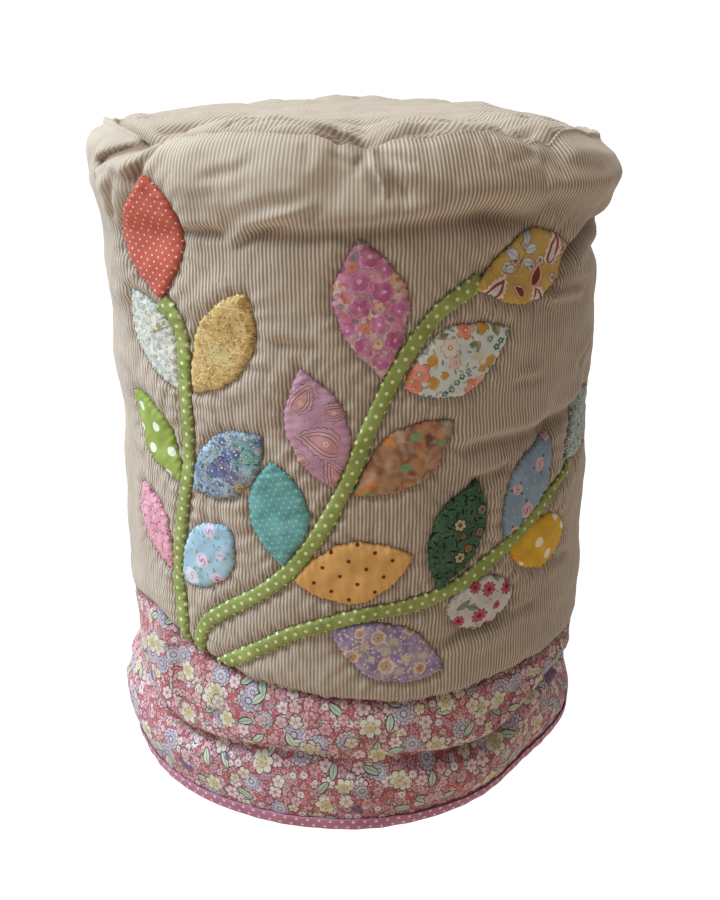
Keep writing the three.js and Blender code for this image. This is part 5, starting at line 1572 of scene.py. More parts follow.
def extra_motifs(p):
    def drop(under, v, x, y, size, angle, fills, line, squash=0.62, frill=0.0, steps=(0.0, 0.2, 0.42, 0.62), thin=0.02):
        """A bent teardrop with its point at angle, of nested fills between fine lines."""
        local = p.turned(p.shift(v, -x, -y), -angle)
        lx, ly, _ = p.split(local)
        t = p.math("DIVIDE", lx, size)
        square = p.math("MULTIPLY", t, t)
        round_part = p.math("SQRT", p.math("MAXIMUM", p.math("SUBTRACT", 1.0, square), 0.0))
        taper = p.math("POWER", p.math("MAXIMUM", p.math("MULTIPLY_ADD", t, -0.5, 0.5), 0.0), 0.55)
        wide = p.math("MULTIPLY", p.math("MULTIPLY", round_part, taper), size * squash * 1.35)
        bent = p.math("SUBTRACT", ly, p.math("MULTIPLY", square, size * 0.2))
        off = p.math("SUBTRACT", p.math("ABSOLUTE", bent), wide)
        past = p.math("MAXIMUM", p.math("SUBTRACT", p.math("ABSOLUTE", t), 0.97), 0.0)
        off = p.math("ADD", off, p.math("MULTIPLY", past, 9.0 * size))
        for k, fill in enumerate(fills):
            inset = steps[k] * size * squash
            edge = off
            if k == 0 and frill:
                around = p.math("ARCTAN2", ly, lx)
                lobes = p.math("ABSOLUTE", p.math("SINE", p.math("MULTIPLY", around, 7.0)))
                edge = p.math("SUBTRACT", off, p.math("MULTIPLY", lobes, frill))
            under = p.mix(p.step(edge, -inset + thin, -inset), under, linear(line))
            under = p.mix(p.step(edge, -inset - thin * 0.9, -inset - thin * 1.9), under, linear(fill))
        return under

    def rose(under, v, x, y, size, petals, deep, leaf=None, angle=0.0):
        """A soft rose: lobed, with darker arcs towards the middle."""
        if leaf is not None:
            for a in (angle + 30, angle + 165, angle + 265):
                r = math.radians(a)
                under = p.blade(under, v, x + size * 1.15 * math.cos(r), y + size * 1.15 * math.sin(r), size * 0.95, size * 0.42, a, leaf)
        local = p.shift(v, -x, -y)
        reach, r, around = p.petals(local, 5, math.radians(angle), 0.18)
        under = p.mix(p.step(reach, size + 0.02, size - 0.03), under, linear(petals))
        curl = p.math("SINE", p.math("ADD", p.math("MULTIPLY", r, 16.0 / size * 0.6), p.math("MULTIPLY", around, 2.0)))
        arcs = p.math("MULTIPLY", p.step(curl, 0.35, 0.85), p.step(r, size * 0.85, size * 0.55))
        under = p.mix(p.math("MULTIPLY", arcs, 0.75), under, linear(deep))
        return p.mix(p.step(r, size * 0.22, size * 0.14), under, linear(deep))

    return drop, rose


def print_coral():
    p = Print("print_coral")
    v = p.turned(p.uv, 8)
    c = p.patches(p.uv, 0.9, [(170, 80, 66), (180, 90, 74)], 2)
    c = p.rows_of_dots(c, v, 0.46, 0.29, 0.05, (226, 186, 166), jitter=0.02)
    return p.finish(c)


def print_teal_dot():
    p = Print("print_teal_dot")
    c = p.patches(p.uv, 0.8, [(90, 144, 142), (104, 158, 156)], 2)
    c = p.rows_of_dots(c, p.turned(p.uv, -14), 0.42, 0.27, 0.04, (165, 200, 190), jitter=0.015)
    return p.finish(c)


def print_green_dot():
    p = Print("print_green_dot")
    c = p.patches(p.uv, 0.7, [(128, 146, 62), (142, 158, 76)], 2)
    for x, y in ((-1.25, 1.5), (0.15, 0.62), (-0.35, -0.75), (1.35, -0.55), (1.0, -1.95), (-1.6, 0.2), (0.2, 2.2)):
        c = p.dot(c, p.uv, x, y, 0.31, (216, 222, 205), 0.9)
    return p.finish(c)


def print_yellow_dot():
    p = Print("print_yellow_dot")
    c = p.patches(p.uv, 0.8, [(196, 150, 34), (208, 164, 48)], 2)
    for x, y in ((-0.3, -0.05), (1.25, 1.15), (0.75, -1.15), (2.3, 0.2), (-1.6, 1.1), (-1.75, -1.2)):
        c = p.dot(c, p.uv, x, y, 0.34, (226, 220, 200), 0.9)
    return p.finish(c)


def print_orange_dot():
    p = Print("print_orange_dot")
    c = p.patches(p.uv, 0.6, [(198, 148, 84), (210, 162, 98)], 2)
    c = p.rows_of_dots(c, p.turned(p.uv, 27), 1.05, 1.03, 0.115, (112, 58, 28), stagger=0.0, jitter=0.04)
    c = p.rows_of_dots(c, p.turned(p.uv, 27), 1.05, 1.03, 0.05, (84, 40, 20), stagger=0.0)
    return p.finish(c)


def print_amber():
    p = Print("print_amber", 0.7)
    v = p.wobble(p.uv, 0.6, 0.9)
    c = p.patches(v, 0.62, [(168, 142, 120), (134, 94, 70), (162, 124, 94), (100, 64, 46)], 2, 2.0)
    fan = p.noise(p.vector("MULTIPLY", p.turned(p.wobble(p.uv, 0.3, 1.4), -38), (0.8, 2.2, 1.0)), 1.3, 2.0)
    c = p.mix(p.math("MULTIPLY", p.step(fan, 0.5, 0.74), 0.5), c, linear((98, 62, 42)))
    warm = p.step(p.noise(p.shift(v, 4.0, 1.0), 0.7, 2.0), 0.5, 0.7)
    c = p.mix(p.math("MULTIPLY", warm, 0.7), c, linear((206, 134, 70)))
    pale = p.step(p.noise(p.shift(p.wobble(p.uv, 0.5, 1.2), 1.0, 6.0), 0.8, 2.0, 0.5, 0.6), 0.5, 0.7)
    c = p.mix(p.math("MULTIPLY", pale, 0.85), c, linear((182, 158, 138)))
    for x, y in ((0.62, 1.28), (0.19, -0.41), (-2.6, -1.46), (2.3, 2.1), (2.0, 0.87), (1.18, -1.34), (-1.9, -2.0)):
        c = p.dot(c, v, x, y, 0.25, (96, 150, 106), 0.78, 10, 0.12)
        c = p.dot(c, v, x + 0.03, y + 0.02, 0.1, (80, 134, 92), 0.8, 0, 0.1)
    p.relief(fan, 0.25, 0.0005)
    return p.finish(c)


def print_gold():
    p = Print("print_gold")
    c = p.patches(p.uv, 1.5, [(152, 122, 66), (184, 154, 96), (196, 170, 116)], 3)
    middle = p.step(p.vector("LENGTH", p.vector("MULTIPLY", p.shift(p.uv, -0.15, 0.5), (0.9, 1.2, 1.0))), 1.0, 0.25)
    c = p.mix(p.math("MULTIPLY", middle, 0.55), c, linear((186, 180, 130)))
    c = p.sprigs(c, p.uv, 3.0, 0.78, 0.24, [(202, 180, 126), (208, 192, 146), (140, 104, 48)], seed=1)
    c = p.sprigs(c, p.uv, 4.4, 0.7, 0.2, [(212, 194, 150), (128, 96, 48)], seed=2, keep=0.6)
    c = p.specks(c, p.uv, 6.0, 0.22, [(212, 196, 156), (134, 100, 50)], seed=3, keep=0.5)
    return p.finish(c)


def print_pale_blue():
    p = Print("print_pale_blue")
    c = p.patches(p.uv, 1.2, [(202, 202, 186), (210, 208, 194)], 2)
    c = p.scatter(c, p.uv, 2.0, 0.34, [(184, 190, 182), (202, 204, 194), (168, 178, 176)], (198, 184, 138), (132, 144, 152), 5, seed=2)
    c = p.sprigs(c, p.uv, 3.4, 0.7, 0.2, [(154, 166, 166), (178, 186, 176), (144, 150, 134)], (122, 134, 140), seed=3, keep=0.75)
    c = p.specks(c, p.uv, 7.0, 0.2, [(126, 138, 148), (170, 176, 174)], seed=4, keep=0.5)
    for x, y, s in ((0.35, 0.9, 0.2), (0.75, 1.1, 0.13), (0.05, 0.55, 0.15), (1.15, 1.15, 0.1)):
        c = p.dot(c, p.uv, x, y, s, (148, 134, 92), 0.9, 0, 0.04)
    c = p.blade(c, p.uv, 0.3, 0.65, 2.0, 0.09, 22, (140, 128, 84))
    return p.finish(c)


def print_blue_purple():
    p = Print("print_blue_purple")
    base = p.patches(p.uv, 1.1, [(88, 104, 142), (120, 140, 160), (148, 168, 182), (104, 116, 128)], 2, 1.0)
    pale = p.step(p.vector("LENGTH", p.shift(p.uv, 1.1, -1.0)), 1.5, 0.6)
    base = p.mix(p.math("MULTIPLY", pale, 0.6), base, linear((150, 178, 192)))
    green = p.step(p.vector("LENGTH", p.shift(p.uv, -1.6, -0.9)), 1.3, 0.5)
    base = p.mix(p.math("MULTIPLY", green, 0.75), base, linear((96, 148, 132)))
    ochre = p.step(p.vector("LENGTH", p.shift(p.uv, -1.1, 1.1)), 1.2, 0.4)
    base = p.mix(p.math("MULTIPLY", ochre, 0.7), base, linear((152, 132, 84)))
    v = p.wobble(p.uv, 0.14, 2.4)
    c = p.scatter(base, v, 1.9, 0.4, [(112, 124, 156), (150, 166, 176), (128, 148, 148), (76, 84, 128)], (196, 194, 160), (60, 70, 96), 6, seed=3, keep=0.8)
    c = p.sprigs(c, v, 2.6, 0.74, 0.3, [(92, 132, 116), (150, 150, 112), (66, 92, 104)], (50, 62, 76), seed=4, keep=0.7)
    for x, y, s, col, a in ((-0.05, -0.15, 0.6, (84, 78, 122), 10), (0.55, -0.6, 0.42, (98, 88, 132), 40), (-0.75, -0.5, 0.4, (80, 90, 128), 0), (0.35, 0.7, 0.36, (90, 104, 150), 20), (-1.2, 0.9, 0.42, (160, 184, 198), 0), (1.5, 0.7, 0.4, (104, 156, 138), 30), (1.0, -1.2, 0.36, (168, 146, 92), 0)):
        c = p.flower(c, v, x, y, s, col, (190, 186, 150), (48, 52, 78), 7, a, 0.34, 0.16, 0.1)
    c = p.specks(c, p.uv, 5.5, 0.18, [(206, 206, 190), (60, 56, 100)], seed=5, keep=0.5)
    c = p.mottle(c, 2.2, 0.3, (150, 160, 168), 4.0)
    return p.finish(c)


def print_pink_line():
    p = Print("print_pink_line")
    c = p.patches(p.uv, 1.0, [(200, 138, 156), (210, 154, 168)], 2)
    for scale, seed, colour in ((0.75, 1, (96, 48, 66)), (1.1, 4, (104, 54, 72))):
        node = p.cells(p.shift(p.wobble(p.uv, 0.5, 1.8), seed, seed * 0.7), scale, 0.9)
        ring = p.math("ABSOLUTE", p.math("SUBTRACT", p.math("FRACT", p.math("MULTIPLY", node.outputs["Distance"], 2.2)), 0.5))
        part = p.step(p.noise(p.shift(p.uv, seed, 2.0), 1.3, 1.0), 0.44, 0.52)
        c = p.mix(p.math("MULTIPLY", p.math("MULTIPLY", p.step(ring, 0.055, 0.025), part), 0.85), c, linear(colour))
    c = p.specks(c, p.uv, 2.2, 0.14, [(232, 200, 204), (150, 60, 100)], seed=2, keep=0.6)
    return p.finish(c)


def print_sky_rose():
    p = Print("print_sky_rose")
    _, rose = extra_motifs(p)
    c = p.patches(p.uv, 0.8, [(142, 172, 190), (160, 188, 202)], 2)
    c = p.sprigs(c, p.uv, 1.9, 0.62, 0.22, [(122, 160, 142), (112, 150, 166)], seed=2, keep=0.7)
    for x, y, s, col, deep, a in (
        (-0.7, 2.0, 0.5, (206, 196, 206), (160, 132, 168), 10),
        (0.55, 1.7, 0.42, (196, 184, 204), (150, 120, 164), 60),
        (-0.05, -0.2, 0.46, (206, 186, 202), (146, 96, 142), 100),
        (-0.95, -1.45, 0.55, (208, 206, 214), (170, 152, 184), 30),
        (0.95, -1.2, 0.5, (204, 190, 208), (150, 110, 156), 200),
        (1.2, 0.4, 0.3, (196, 190, 208), (140, 116, 160), 80),
    ):
        c = rose(c, p.uv, x, y, s, col, deep, (118, 156, 132), a)
    return p.finish(c)


def print_blue_rose():
    p = Print("print_blue_rose")
    _, rose = extra_motifs(p)
    c = p.patches(p.uv, 0.8, [(120, 140, 158), (134, 154, 170)], 2)
    c = p.specks(c, p.uv, 1.6, 0.1, [(168, 176, 180)], seed=2, keep=0.6)
    for x, y, s, a in ((0.62, 1.1, 0.44, 20), (-0.38, -1.35, 0.5, 70), (-1.2, 0.1, 0.34, 150), (1.5, 2.5, 0.3, 40), (-1.3, -2.4, 0.34, 90)):
        c = rose(c, p.uv, x, y, s, (196, 164, 172), (168, 92, 118), (78, 98, 92), a)
    return p.finish(c)


def print_teal_speckle():
    p = Print("print_teal_speckle")
    c = p.patches(p.uv, 1.6, [(150, 166, 160), (182, 190, 182)], 2)
    c = p.scatter(c, p.uv, 2.6, 0.38, [(196, 204, 196), (128, 160, 160), (206, 208, 200)], (90, 112, 112), (62, 84, 88), 5, seed=5)
    c = p.sprigs(c, p.uv, 4.0, 0.7, 0.26, [(74, 112, 112), (52, 70, 74)], seed=6, keep=0.8)
    return p.finish(c)


def print_paisley():
    p = Print("print_paisley")
    drop, _ = extra_motifs(p)
    c = p.patches(p.uv, 0.8, [(172, 130, 150), (182, 142, 160)], 2)
    c = p.sprigs(c, p.uv, 2.4, 0.6, 0.12, [(132, 92, 122), (150, 108, 134)], seed=2, keep=0.6)
    c = p.specks(c, p.uv, 3.4, 0.09, [(206, 176, 170), (110, 140, 142), (204, 146, 116)], seed=3, keep=0.45)
    v = p.wobble(p.uv, 0.05, 3.0)
    for x, y, s, a in ((0.1, -0.5, 1.25, 160), (-1.3, -1.7, 0.8, 215), (0.9, -2.3, 0.95, 110), (-0.7, 1.75, 0.95, 60), (1.1, 1.1, 0.7, 15)):
        c = drop(c, v, x, y, s, a, [(182, 142, 152), (190, 150, 142), (184, 136, 140)], (92, 60, 86), frill=0.1, steps=(0.0, 0.24, 0.5), thin=0.022)
        r = math.radians(a + 180)
        c = p.flower(c, v, x + 0.32 * s * math.cos(r), y + 0.32 * s * math.sin(r), 0.15 * s, (212, 170, 148), (196, 120, 96), None, 5)
    return p.finish(c)


def print_magenta():
    p = Print("print_magenta")
    c = p.patches(p.uv, 0.8, [(188, 122, 150), (180, 104, 142), (200, 156, 160)], 2, 2.0)
    pale = p.step(p.noise(p.shift(p.uv, 3.0, 1.0), 0.5, 2.0), 0.46, 0.56)
    c = p.mix(p.math("MULTIPLY", pale, 0.8), c, linear((204, 182, 168)))
    c = p.sprigs(c, p.uv, 2.0, 0.8, 0.36, [(140, 146, 136), (172, 168, 158), (122, 128, 124)], (92, 86, 90), seed=3, keep=0.85)
    c = p.scatter(c, p.uv, 3.0, 0.34, [(204, 120, 96), (206, 178, 120), (196, 120, 150), (206, 186, 170)], (214, 190, 130), (140, 88, 92), 5, seed=4, keep=0.7)
    v = p.wobble(p.wobble(p.uv, 0.36, 1.7), 0.12, 5.0)
    M, K, L = (166, 82, 124), (176, 96, 140), (198, 158, 174)
    for x, y, s, col, a in (
        (-0.1, 2.75, 0.52, M, 0), (0.55, 2.15, 0.42, K, 30), (-0.6, 1.6, 0.5, K, 60), (0.55, 1.05, 0.52, M, 10),
        (-0.6, 0.25, 0.5, M, 40), (1.3, 0.1, 0.42, K, 0), (0.35, -0.6, 0.42, K, 75), (-1.2, -0.9, 0.4, K, 25), (1.2, -1.4, 0.5, M, 15),
        (-0.35, -1.75, 0.48, M, 50), (0.45, -2.5, 0.42, K, 30),
    ):
        c = p.flower(c, v, x, y, s * 1.1, col, (204, 172, 184), L, 5, a, 0.3, 0.12, 0.06)
    for x, y, s, col, a in ((1.25, 1.6, 0.4, (196, 170, 128), 0), (-1.25, 0.75, 0.28, (186, 98, 80), 0), (0.35, 0.25, 0.3, (198, 172, 132), 50), (-0.35, -0.75, 0.28, (196, 118, 94), 0), (0.3, -1.55, 0.32, (200, 180, 140), 40), (-0.95, 2.3, 0.28, (196, 122, 98), 0)):
        c = p.flower(c, v, x, y, s, col, (180, 112, 96), (150, 108, 98), 6, a, 0.3, 0.22, 0.14)
    c = p.mottle(c, 1.5, 0.4, (204, 164, 178), 2.0)
    c = p.mottle(c, 2.6, 0.3, (150, 84, 112), 7.0)
    return p.finish(c)


def print_white_floral():
    p = Print("print_white_floral")
    c = p.patches(p.uv, 0.9, [(188, 196, 192), (200, 204, 198)], 2)
    c = p.sprigs(c, p.uv, 2.1, 0.72, 0.28, [(128, 142, 118), (156, 160, 134), (110, 132, 128)], seed=3, keep=0.75)
    v = p.wobble(p.uv, 0.1, 3.0)
    coral, gold, teal, olive = (210, 122, 104), (186, 138, 50), (52, 104, 110), (124, 128, 76)
    for x, y, s, col, n, a in (
        (0.2, 1.55, 0.42, coral, 5, 0), (-2.25, -0.55, 0.5, coral, 5, 30), (-2.5, -1.3, 0.36, coral, 5, 0), (0.75, -1.5, 0.4, coral, 5, 20), (2.5, 1.75, 0.3, coral, 5, 0),
        (1.15, -1.25, 0.26, (214, 150, 130), 5, 0), (2.1, -0.9, 0.3, coral, 5, 50),
        (-0.62, 0.7, 0.42, (206, 196, 190), 6, 0), (-0.35, -0.1, 0.28, (206, 176, 176), 5, 0),
    ):
        c = p.flower(c, v, x, y, s * 1.2, col, (222, 190, 150), (150, 92, 80), n, a, 0.36, 0.16, 0.08)
    for x, y, length, width, a in ((1.2, 1.6, 0.75, 0.5, 80), (-1.55, 0.12, 0.6, 0.46, 70), (-1.5, -1.05, 0.62, 0.5, 95), (-0.9, -0.72, 0.36, 0.34, 0), (1.75, -0.25, 0.62, 0.42, 60), (1.3, -0.55, 0.5, 0.32, 200), (-2.9, -0.9, 0.4, 0.3, 30)):
        c = p.blade(c, v, x, y, length * 1.2, width * 1.15, a, gold, (150, 108, 40))
    for a in range(0, 180, 30):
        c = p.blade(c, v, 1.0 + 0.28 * math.cos(math.radians(a)), -0.1 + 0.28 * math.sin(math.radians(a)), 0.5, 0.07, a, (196, 160, 70))
    for x, y, length, width, a in ((2.0, 1.55, 0.95, 0.36, 105), (-1.0, 1.3, 0.5, 0.2, 20), (0.75, 0.75, 0.42, 0.22, 0), (1.0, 0.62, 0.4, 0.2, 80), (2.7, 0.2, 0.5, 0.2, 60), (-2.9, -1.7, 0.5, 0.26, 20)):
        c = p.blade(c, v, x, y, length * 1.2, width * 1.2, a, olive, (92, 100, 62), (92, 100, 62))
    for x, y in ((2.35, 0.75), (2.75, 1.1), (2.1, 0.45), (0.05, -0.85), (0.42, -0.62), (-0.2, -1.15), (-0.85, -1.7), (-0.5, -1.5), (-1.4, -2.0), (-1.7, -1.85), (1.7, 0.9)):
        c = p.flower(c, v, x, y, 0.19, teal, (170, 186, 170), None, 5, 20 * x, 0.4, 0.3)
    c = p.mottle(c, 2.0, 0.3, (206, 204, 190), 3.0)
    return p.finish(c)


def print_mustard():
    p = Print("print_mustard")
    drop, _ = extra_motifs(p)
    c = p.patches(p.uv, 0.7, [(176, 144, 70), (186, 156, 86)], 2)
    v = p.uv
    c = p.scatter(c, v, 1.15, 0.34, [(186, 184, 182), (178, 150, 136)], (132, 66, 48), (84, 86, 96), 5, seed=7, keep=0.5, dark=0.6)
    white, grey, rust = (182, 188, 194), (62, 70, 86), (136, 66, 48)
    c = p.blade(c, v, -0.6, 0.35, 1.9, 0.07, 62, grey)
    for x, y, length, width, a in ((-1.2, 0.85, 0.95, 0.56, 150), (0.0, 1.0, 0.9, 0.52, 8), (-0.35, 1.6, 0.8, 0.46, 78), (-0.1, 0.32, 0.8, 0.44, -16), (-1.3, 0.1, 0.74, 0.42, 172)):
        c = p.blade(c, v, x, y, length, width, a, white, grey, grey)
    for x, y, s, a in ((2.0, 0.9, 0.98, 74), (-2.1, -0.85, 0.86, 40), (0.7, -1.6, 0.9, 112)):
        c = drop(c, v, x, y, s, a, [(206, 190, 182), rust, (192, 190, 192)], rust, frill=0.16, steps=(0.0, 0.3, 0.56))
    for x, y, s, a in ((0.6, -0.35, 0.72, 62), (-0.75, -1.0, 0.5, 140), (2.1, -0.95, 0.5, 100)):
        c = drop(c, v, x, y, s, a, [(200, 158, 142), (112, 52, 38)], rust, steps=(0.0, 0.45))
    c = p.specks(c, p.uv, 1.7, 0.08, [(214, 200, 186), (196, 130, 120)], seed=4, keep=0.4)
    return p.finish(c)


def print_purple():
    p = Print("print_purple", 0.6)
    c = p.patches(p.uv, 0.75, [(152, 144, 150), (128, 108, 146), (146, 126, 162), (172, 164, 168)], 2, 1.0)
    c = p.scatter(c, p.uv, 3.4, 0.32, [(192, 186, 190), (156, 128, 176), (188, 176, 140)], (206, 190, 130), None, 6, seed=3, keep=0.85)
    v = p.wobble(p.uv, 0.09, 3.0)
    for x, y, s in ((-0.6, 1.05, 0.46), (-0.15, -0.8, 0.5), (2.45, 0.5, 0.42), (-2.1, -0.1, 0.46), (1.2, 1.35, 0.34), (1.75, -1.1, 0.38), (-1.6, 1.35, 0.32)):
        c = p.flower(c, v, x, y, s, (206, 184, 154), (150, 98, 50), None, 6, 40 * x, 0.14, 0.2)
        c = p.flower(c, v, x, y, s * 0.66, (176, 132, 88), (122, 78, 40), (206, 184, 154), 5, 70 * x, 0.2, 0.35)
    for x, y, s in ((0.95, -0.4, 0.28), (-0.2, 0.1, 0.26), (-1.3, 0.5, 0.26), (0.3, 0.75, 0.24), (2.0, -0.35, 0.24), (-0.95, -0.3, 0.2), (0.6, -1.15, 0.24)):
        c = p.flower(c, v, x, y, s, (178, 172, 148), (198, 184, 120), (206, 196, 150), 6, 30, 0.4, 0.2, 0.1)
    c = p.specks(c, p.uv, 5.0, 0.16, [(206, 202, 206), (104, 74, 140)], seed=5, keep=0.5)
    c = p.mottle(c, 1.3, 0.5, (172, 156, 158), 5.0)
    return p.finish(c)


def print_dark_green():
    p = Print("print_dark_green")
    c = p.patches(p.uv, 0.8, [(52, 84, 62), (64, 98, 72)], 2)
    c = p.sprigs(c, p.uv, 1.9, 0.9, 0.24, [(16, 24, 22)], seed=2, keep=0.85)
    c = p.sprigs(c, p.uv, 3.2, 0.8, 0.2, [(24, 32, 28), (92, 108, 84)], seed=5, keep=0.75)
    c = p.sprigs(c, p.turned(p.uv, 50), 2.6, 0.85, 0.13, [(18, 26, 22)], seed=8, keep=0.8)
    for x, y, s, col in ((-0.05, 0.75, 0.34, (176, 166, 128)), (1.3, 1.4, 0.28, (130, 122, 92)), (0.0, -1.2, 0.32, (168, 158, 122)), (0.5, -0.75, 0.24, (156, 104, 60)), (1.2, 0.1, 0.26, (134, 106, 84)), (-0.9, 2.2, 0.22, (146, 130, 100)), (0.5, -2.3, 0.26, (130, 122, 88)), (0.15, 0.05, 0.18, (136, 84, 76))):
        c = p.flower(c, p.uv, x, y, s, col, (112, 80, 40), (18, 26, 22), 6, 20, 0.4, 0.26, 0.22)
    return p.finish(c)


def print_pink_white():
    p = Print("print_pink_white")
    c = p.patches(p.uv, 0.9, [(180, 178, 172), (194, 190, 184)], 2)
    c = p.scatter(c, p.uv, 2.6, 0.2, [(186, 116, 128), (206, 190, 186)], (150, 60, 76), None, 5, seed=3, keep=0.5)
    v = p.wobble(p.uv, 0.06, 3.0)
    for x, y, length, width, a in ((-1.3, 0.2, 0.9, 0.34, 30), (-0.75, -0.05, 0.8, 0.3, 160), (0.85, -0.3, 0.6, 0.22, 60), (0.8, 1.5, 0.7, 0.26, 110), (-0.75, -1.6, 0.6, 0.22, 20), (1.2, -1.1, 0.5, 0.2, 140)):
        c = p.blade(c, v, x, y, length, width, a, (124, 138, 124), (58, 66, 62), (58, 66, 62))
    for x, y, s in ((0.3, 0.85, 0.42), (1.65, 0.6, 0.44), (-0.25, -0.72, 0.46), (-1.55, -0.8, 0.34), (-0.6, 1.15, 0.34), (0.95, -0.35, 0.22), (0.4, -1.6, 0.26), (2.3, -0.5, 0.26), (1.6, -1.1, 0.2)):
        c = p.flower(c, v, x, y, s, (178, 74, 92), (92, 38, 46), (66, 40, 44), 9, 25 * y, 0.4, 0.2, 0.12, (120, 40, 58))
    return p.finish(c)


CLOTH = {
    "leaf_coral": print_coral(),
    "leaf_pale_blue": print_pale_blue(),
    "leaf_gold": print_gold(),
    "leaf_green_dot": print_green_dot(),
    "leaf_blue_purple": print_blue_purple(),
    "leaf_pink_line": print_pink_line(),
    "leaf_sky_rose": print_sky_rose(),
    "leaf_teal_dot": print_teal_dot(),
    "leaf_paisley": print_paisley(),
    "leaf_magenta": print_magenta(),
    "leaf_mustard": print_mustard(),
    "leaf_white_floral": print_white_floral(),
    "leaf_amber": print_amber(),
    "leaf_orange_dot": print_orange_dot(),
    "leaf_purple": print_purple(),
    "leaf_dark_green": print_dark_green(),
    "leaf_pink_white": print_pink_white(),
    "leaf_blue_rose": print_blue_rose(),
    "leaf_yellow_dot": print_yellow_dot(),
    "leaf_teal_speckle": print_teal_speckle(),
}


def stem_print():
    p = Print("stem_tape")
    c = p.patches(p.uv, 0.6, [(126, 138, 72), (142, 153, 88)], 2)
    c = p.rows_of_dots(c, p.shift(p.uv, 0.0, 0.215), 0.66, 0.43, 0.1, (206, 210, 160), jitter=0.06)
    return p.finish(c)


def binding_print():
    p = Print("binding_tape")
    c = p.patches(p.uv, 0.5, [(166, 106, 130), (178, 120, 142)], 2)
    c = p.rows_of_dots(c, p.uv, 0.66, 0.42, 0.095, (222, 200, 208), jitter=0.08)
    return p.finish(c)


def band_print():
    """Small flowers crowded over a rose ground, drawn with fine dark green lines."""
    p = Print("band_print")
    line = (64, 52, 54)
    v = p.wobble(p.wobble(p.uv, 0.1, 1.6), 0.05, 6.0)
    c = p.patches(p.uv, 0.45, [(160, 76, 84), (174, 92, 96), (156, 84, 94)], 2)
    c = p.specks(c, p.uv, 6.5, 0.2, [(206, 158, 162), (216, 190, 190), (134, 56, 66)], seed=1, keep=0.85)
    c = p.scatter(c, v, 3.0, 0.36, [(194, 138, 142), (212, 176, 178), (176, 112, 122), (206, 168, 172)], (196, 160, 140), (92, 54, 60), 5, seed=2, keep=0.92)
    c = p.sprigs(c, v, 1.9, 0.7, 0.26, [(160, 180, 164), (176, 188, 170), (190, 196, 176)], line, seed=3, keep=0.5)
    c = p.scatter(c, v, 1.9, 0.4, [(206, 158, 162), (196, 140, 146), (210, 180, 184), (186, 150, 166)], (176, 112, 108), line, 5, seed=14, keep=0.7, pinch=0.46, dark=0.5)
    # starbursts
    c = p.scatter(c, v, 1.55, 0.34, [(214, 208, 208)], (150, 84, 92), line, 11, seed=6, keep=0.34, pinch=0.72, core=0.18, dark=0.4)
    # pink flowers with pointed petals
    c = p.scatter(c, v, 1.05, 0.4, [(206, 162, 166), (196, 146, 152), (212, 190, 192)], (176, 116, 108), line, 6, seed=4, keep=0.5, pinch=0.5, core=0.16, dark=0.5)
    # lilac-grey heads of many petals
    c = p.scatter(c, v, 0.66, 0.4, [(176, 170, 184), (188, 182, 190)], (160, 152, 168), line, 14, seed=7, keep=0.3, pinch=0.26, core=0.3, edge=0.08)
    c = p.scatter(c, v, 0.66, 0.28, [(188, 184, 194), (168, 160, 178)], (184, 176, 186), line, 10, seed=7, keep=0.3, pinch=0.3, core=0.34, edge=0.1)
    # cream flowers, with leaves beside them
    c = p.sprigs(c, v, 0.8, 0.9, 0.34, [(168, 188, 168), (180, 192, 170)], line, seed=21, keep=0.3)
    c = p.scatter(c, v, 0.62, 0.4, [(206, 199, 172), (206, 198, 182)], (192, 182, 130), line, 6, seed=9, keep=0.23, pinch=0.5, core=0.14, edge=0.09, dark=0.4)
    c = p.scatter(c, v, 0.62, 0.17, [(194, 184, 142)], (174, 160, 102), (128, 118, 84), 11, seed=9, keep=0.23, pinch=0.7, core=0.3, edge=0.2, dark=0.3)
    c = p.scatter(c, v, 0.95, 0.36, [(204, 194, 170), (202, 164, 166), (206, 192, 178)], (184, 158, 112), line, 5, seed=11, keep=0.21, pinch=0.48, core=0.14, dark=0.4)
    # clusters of dark berries
    clump = p.step(p.noise(p.shift(p.uv, 5.0, 2.0), 0.42, 1.0), 0.68, 0.71)
    berries = p.specks(linear((120, 92, 108)), p.uv, 5.0, 0.34, [(74, 82, 122), (92, 96, 138), (64, 70, 108)], seed=5)
    c = p.mix(clump, c, berries)
    # 0.75 of the painted fold shade
    return p.finish(c, 0.25, 0.75)


BAND_CLOTH = band_print()
BINDING_CLOTH = binding_print()
STEM_CLOTH = stem_print()


def thread_cotton():
    p = Print("thread_cotton")
    # dark thread: real stitches, whose dark colour also stands in for the shade of the small puckers at each stitch
    # (painted shade)
    return p.finish(linear((92, 84, 60)))


THREAD = thread_cotton()


# ------------------------------------------------------------------ the cover
WALL_CLOTH = striped_cotton("striped_cotton", (190, 179, 163), (142, 123, 105))
TOP_CLOTH = striped_cotton("top_cotton", (184, 171, 154), (148, 129, 110))

wall = wall_piece(WALL_CLOTH)
top = top_piece(TOP_CLOTH)
band = band_piece(BAND_CLOTH)
binding = binding_piece(BINDING_CLOTH)
leaves = [leaf_piece(leaf, k, CLOTH[leaf[0]]) for k, leaf in enumerate(LEAVES)]
stems = [stem_piece(k, STEM_CLOTH) for k in range(3)]
thread = stitches_piece(THREAD)

for piece, node, slot in (
    (wall, "body_panel", "striped_cotton"),
    (top, "top_panel", "top_cotton"),
    (band, "skirt_band", "band_print"),
    (binding, "hem_binding", "binding_tape"),
):
    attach(piece, "root")
    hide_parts(node)
for piece, leaf in zip(leaves, LEAVES):
    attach(piece, "root")
    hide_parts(leaf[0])
for piece, (name, _) in zip(stems, STEMS):
    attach(piece, "root")
    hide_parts(name)
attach(thread, "root")

# ------------------------------------------------------------------ light and camera
world = bpy.data.worlds.new("studio")
bpy.context.scene.world = world
world.use_nodes = True
wt = world.node_tree
background = wt.nodes["Background"]
background.inputs["Strength"].default_value = 1.0


def world_node(kind, **values):
    node = wt.nodes.new(kind)
    for key, value in values.items():
        setattr(node, key, value)
    return node


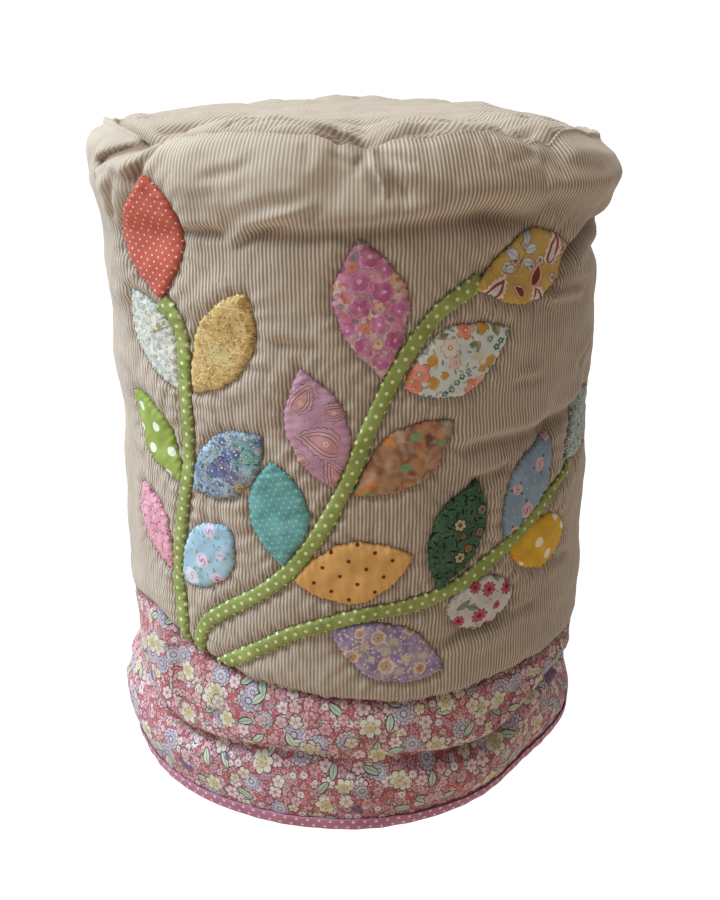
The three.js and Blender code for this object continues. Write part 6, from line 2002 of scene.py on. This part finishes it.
def ranged(source, low, high, bottom, top):
    node = world_node("ShaderNodeMapRange", interpolation_type="SMOOTHSTEP")
    for key, value in (("From Min", low), ("From Max", high), ("To Min", bottom), ("To Max", top)):
        node.inputs[key].default_value = value
    wt.links.new(source, node.inputs["Value"])
    return node.outputs[0]


def world_mix(share, a, b, name):
    node = world_node("ShaderNodeMix", data_type="RGBA", name=name)
    for socket, value in ((node.inputs["Factor"], share), (node.inputs[6], a), (node.inputs[7], b)):
        if isinstance(value, bpy.types.NodeSocket):
            wt.links.new(value, socket)
        else:
            socket.default_value = value
    return node.outputs[2]


coord = world_node("ShaderNodeTexCoord")
sep = world_node("ShaderNodeSeparateXYZ")
wt.links.new(coord.outputs["Generated"], sep.inputs[0])
# a pale room: brighter overhead and to the left, a white wall and table beyond the object
LOW = (0.88, 0.76, 0.58, 1)
SIDE = (0.03, 0.03, 0.03, 1)
OVER = (0.13, 0.125, 0.12, 1)
LEFT = (1.43, 1.3, 1.27, 1)
RIGHT = (0.60, 0.51, 0.48, 1)
WHITE = (1.12, 1.12, 1.12, 1)
room = world_mix(ranged(sep.outputs[2], -0.3, 0.1, 0, 1), LOW, SIDE, "side")
room = world_mix(ranged(sep.outputs[0], -0.2, -0.95, 0, 1), room, LEFT, "left")
room = world_mix(ranged(sep.outputs[0], 0.2, 0.95, 0, 1), room, RIGHT, "right")
room = world_mix(ranged(sep.outputs[2], 0.15, 0.95, 0, 1), room, OVER, "over")
room = world_mix(ranged(sep.outputs[1], 0.48, 0.66, 0, 1), room, WHITE, "white")
wt.links.new(room, background.inputs["Color"])


def area_light(name, azimuth, elevation, distance, size, power, colour):
    data = bpy.data.lights.new(name, "AREA")
    data.shape = "DISK"
    data.size = size
    data.energy = power
    data.color = colour
    obj = bpy.data.objects.new(name, data)
    bpy.context.scene.collection.objects.link(obj)
    a, e = math.radians(azimuth), math.radians(elevation)
    target = np.array([0, 0, 0.22])
    at = target + distance * np.array([math.sin(a) * math.cos(e), -math.cos(a) * math.cos(e), math.sin(e)])
    obj.location = at
    direction = target - at
    yaw = math.atan2(direction[1], direction[0]) - math.pi / 2
    pitch = math.atan2(direction[2], math.hypot(direction[0], direction[1])) + math.pi / 2
    obj.rotation_euler = (pitch, 0, yaw)
    return obj


area_light("window", -80, 48, 1.6, 0.7, 26, (0.52, 0.77, 1.0))
area_light("lamp", -55, 72, 1.6, 0.7, 20.5, (1.0, 0.93, 0.8))

camera_data = bpy.data.cameras.new("camera")
camera_data.lens = 43.44
camera_data.sensor_width = 36
camera = bpy.data.objects.new("camera", camera_data)
bpy.context.scene.collection.objects.link(camera)
camera.location = (0.0039, -0.6648, 0.435)
camera.rotation_euler = (math.radians(69.18), 0, 0)
bpy.context.scene.camera = camera
bpy.context.scene.view_settings.view_transform = "Standard"
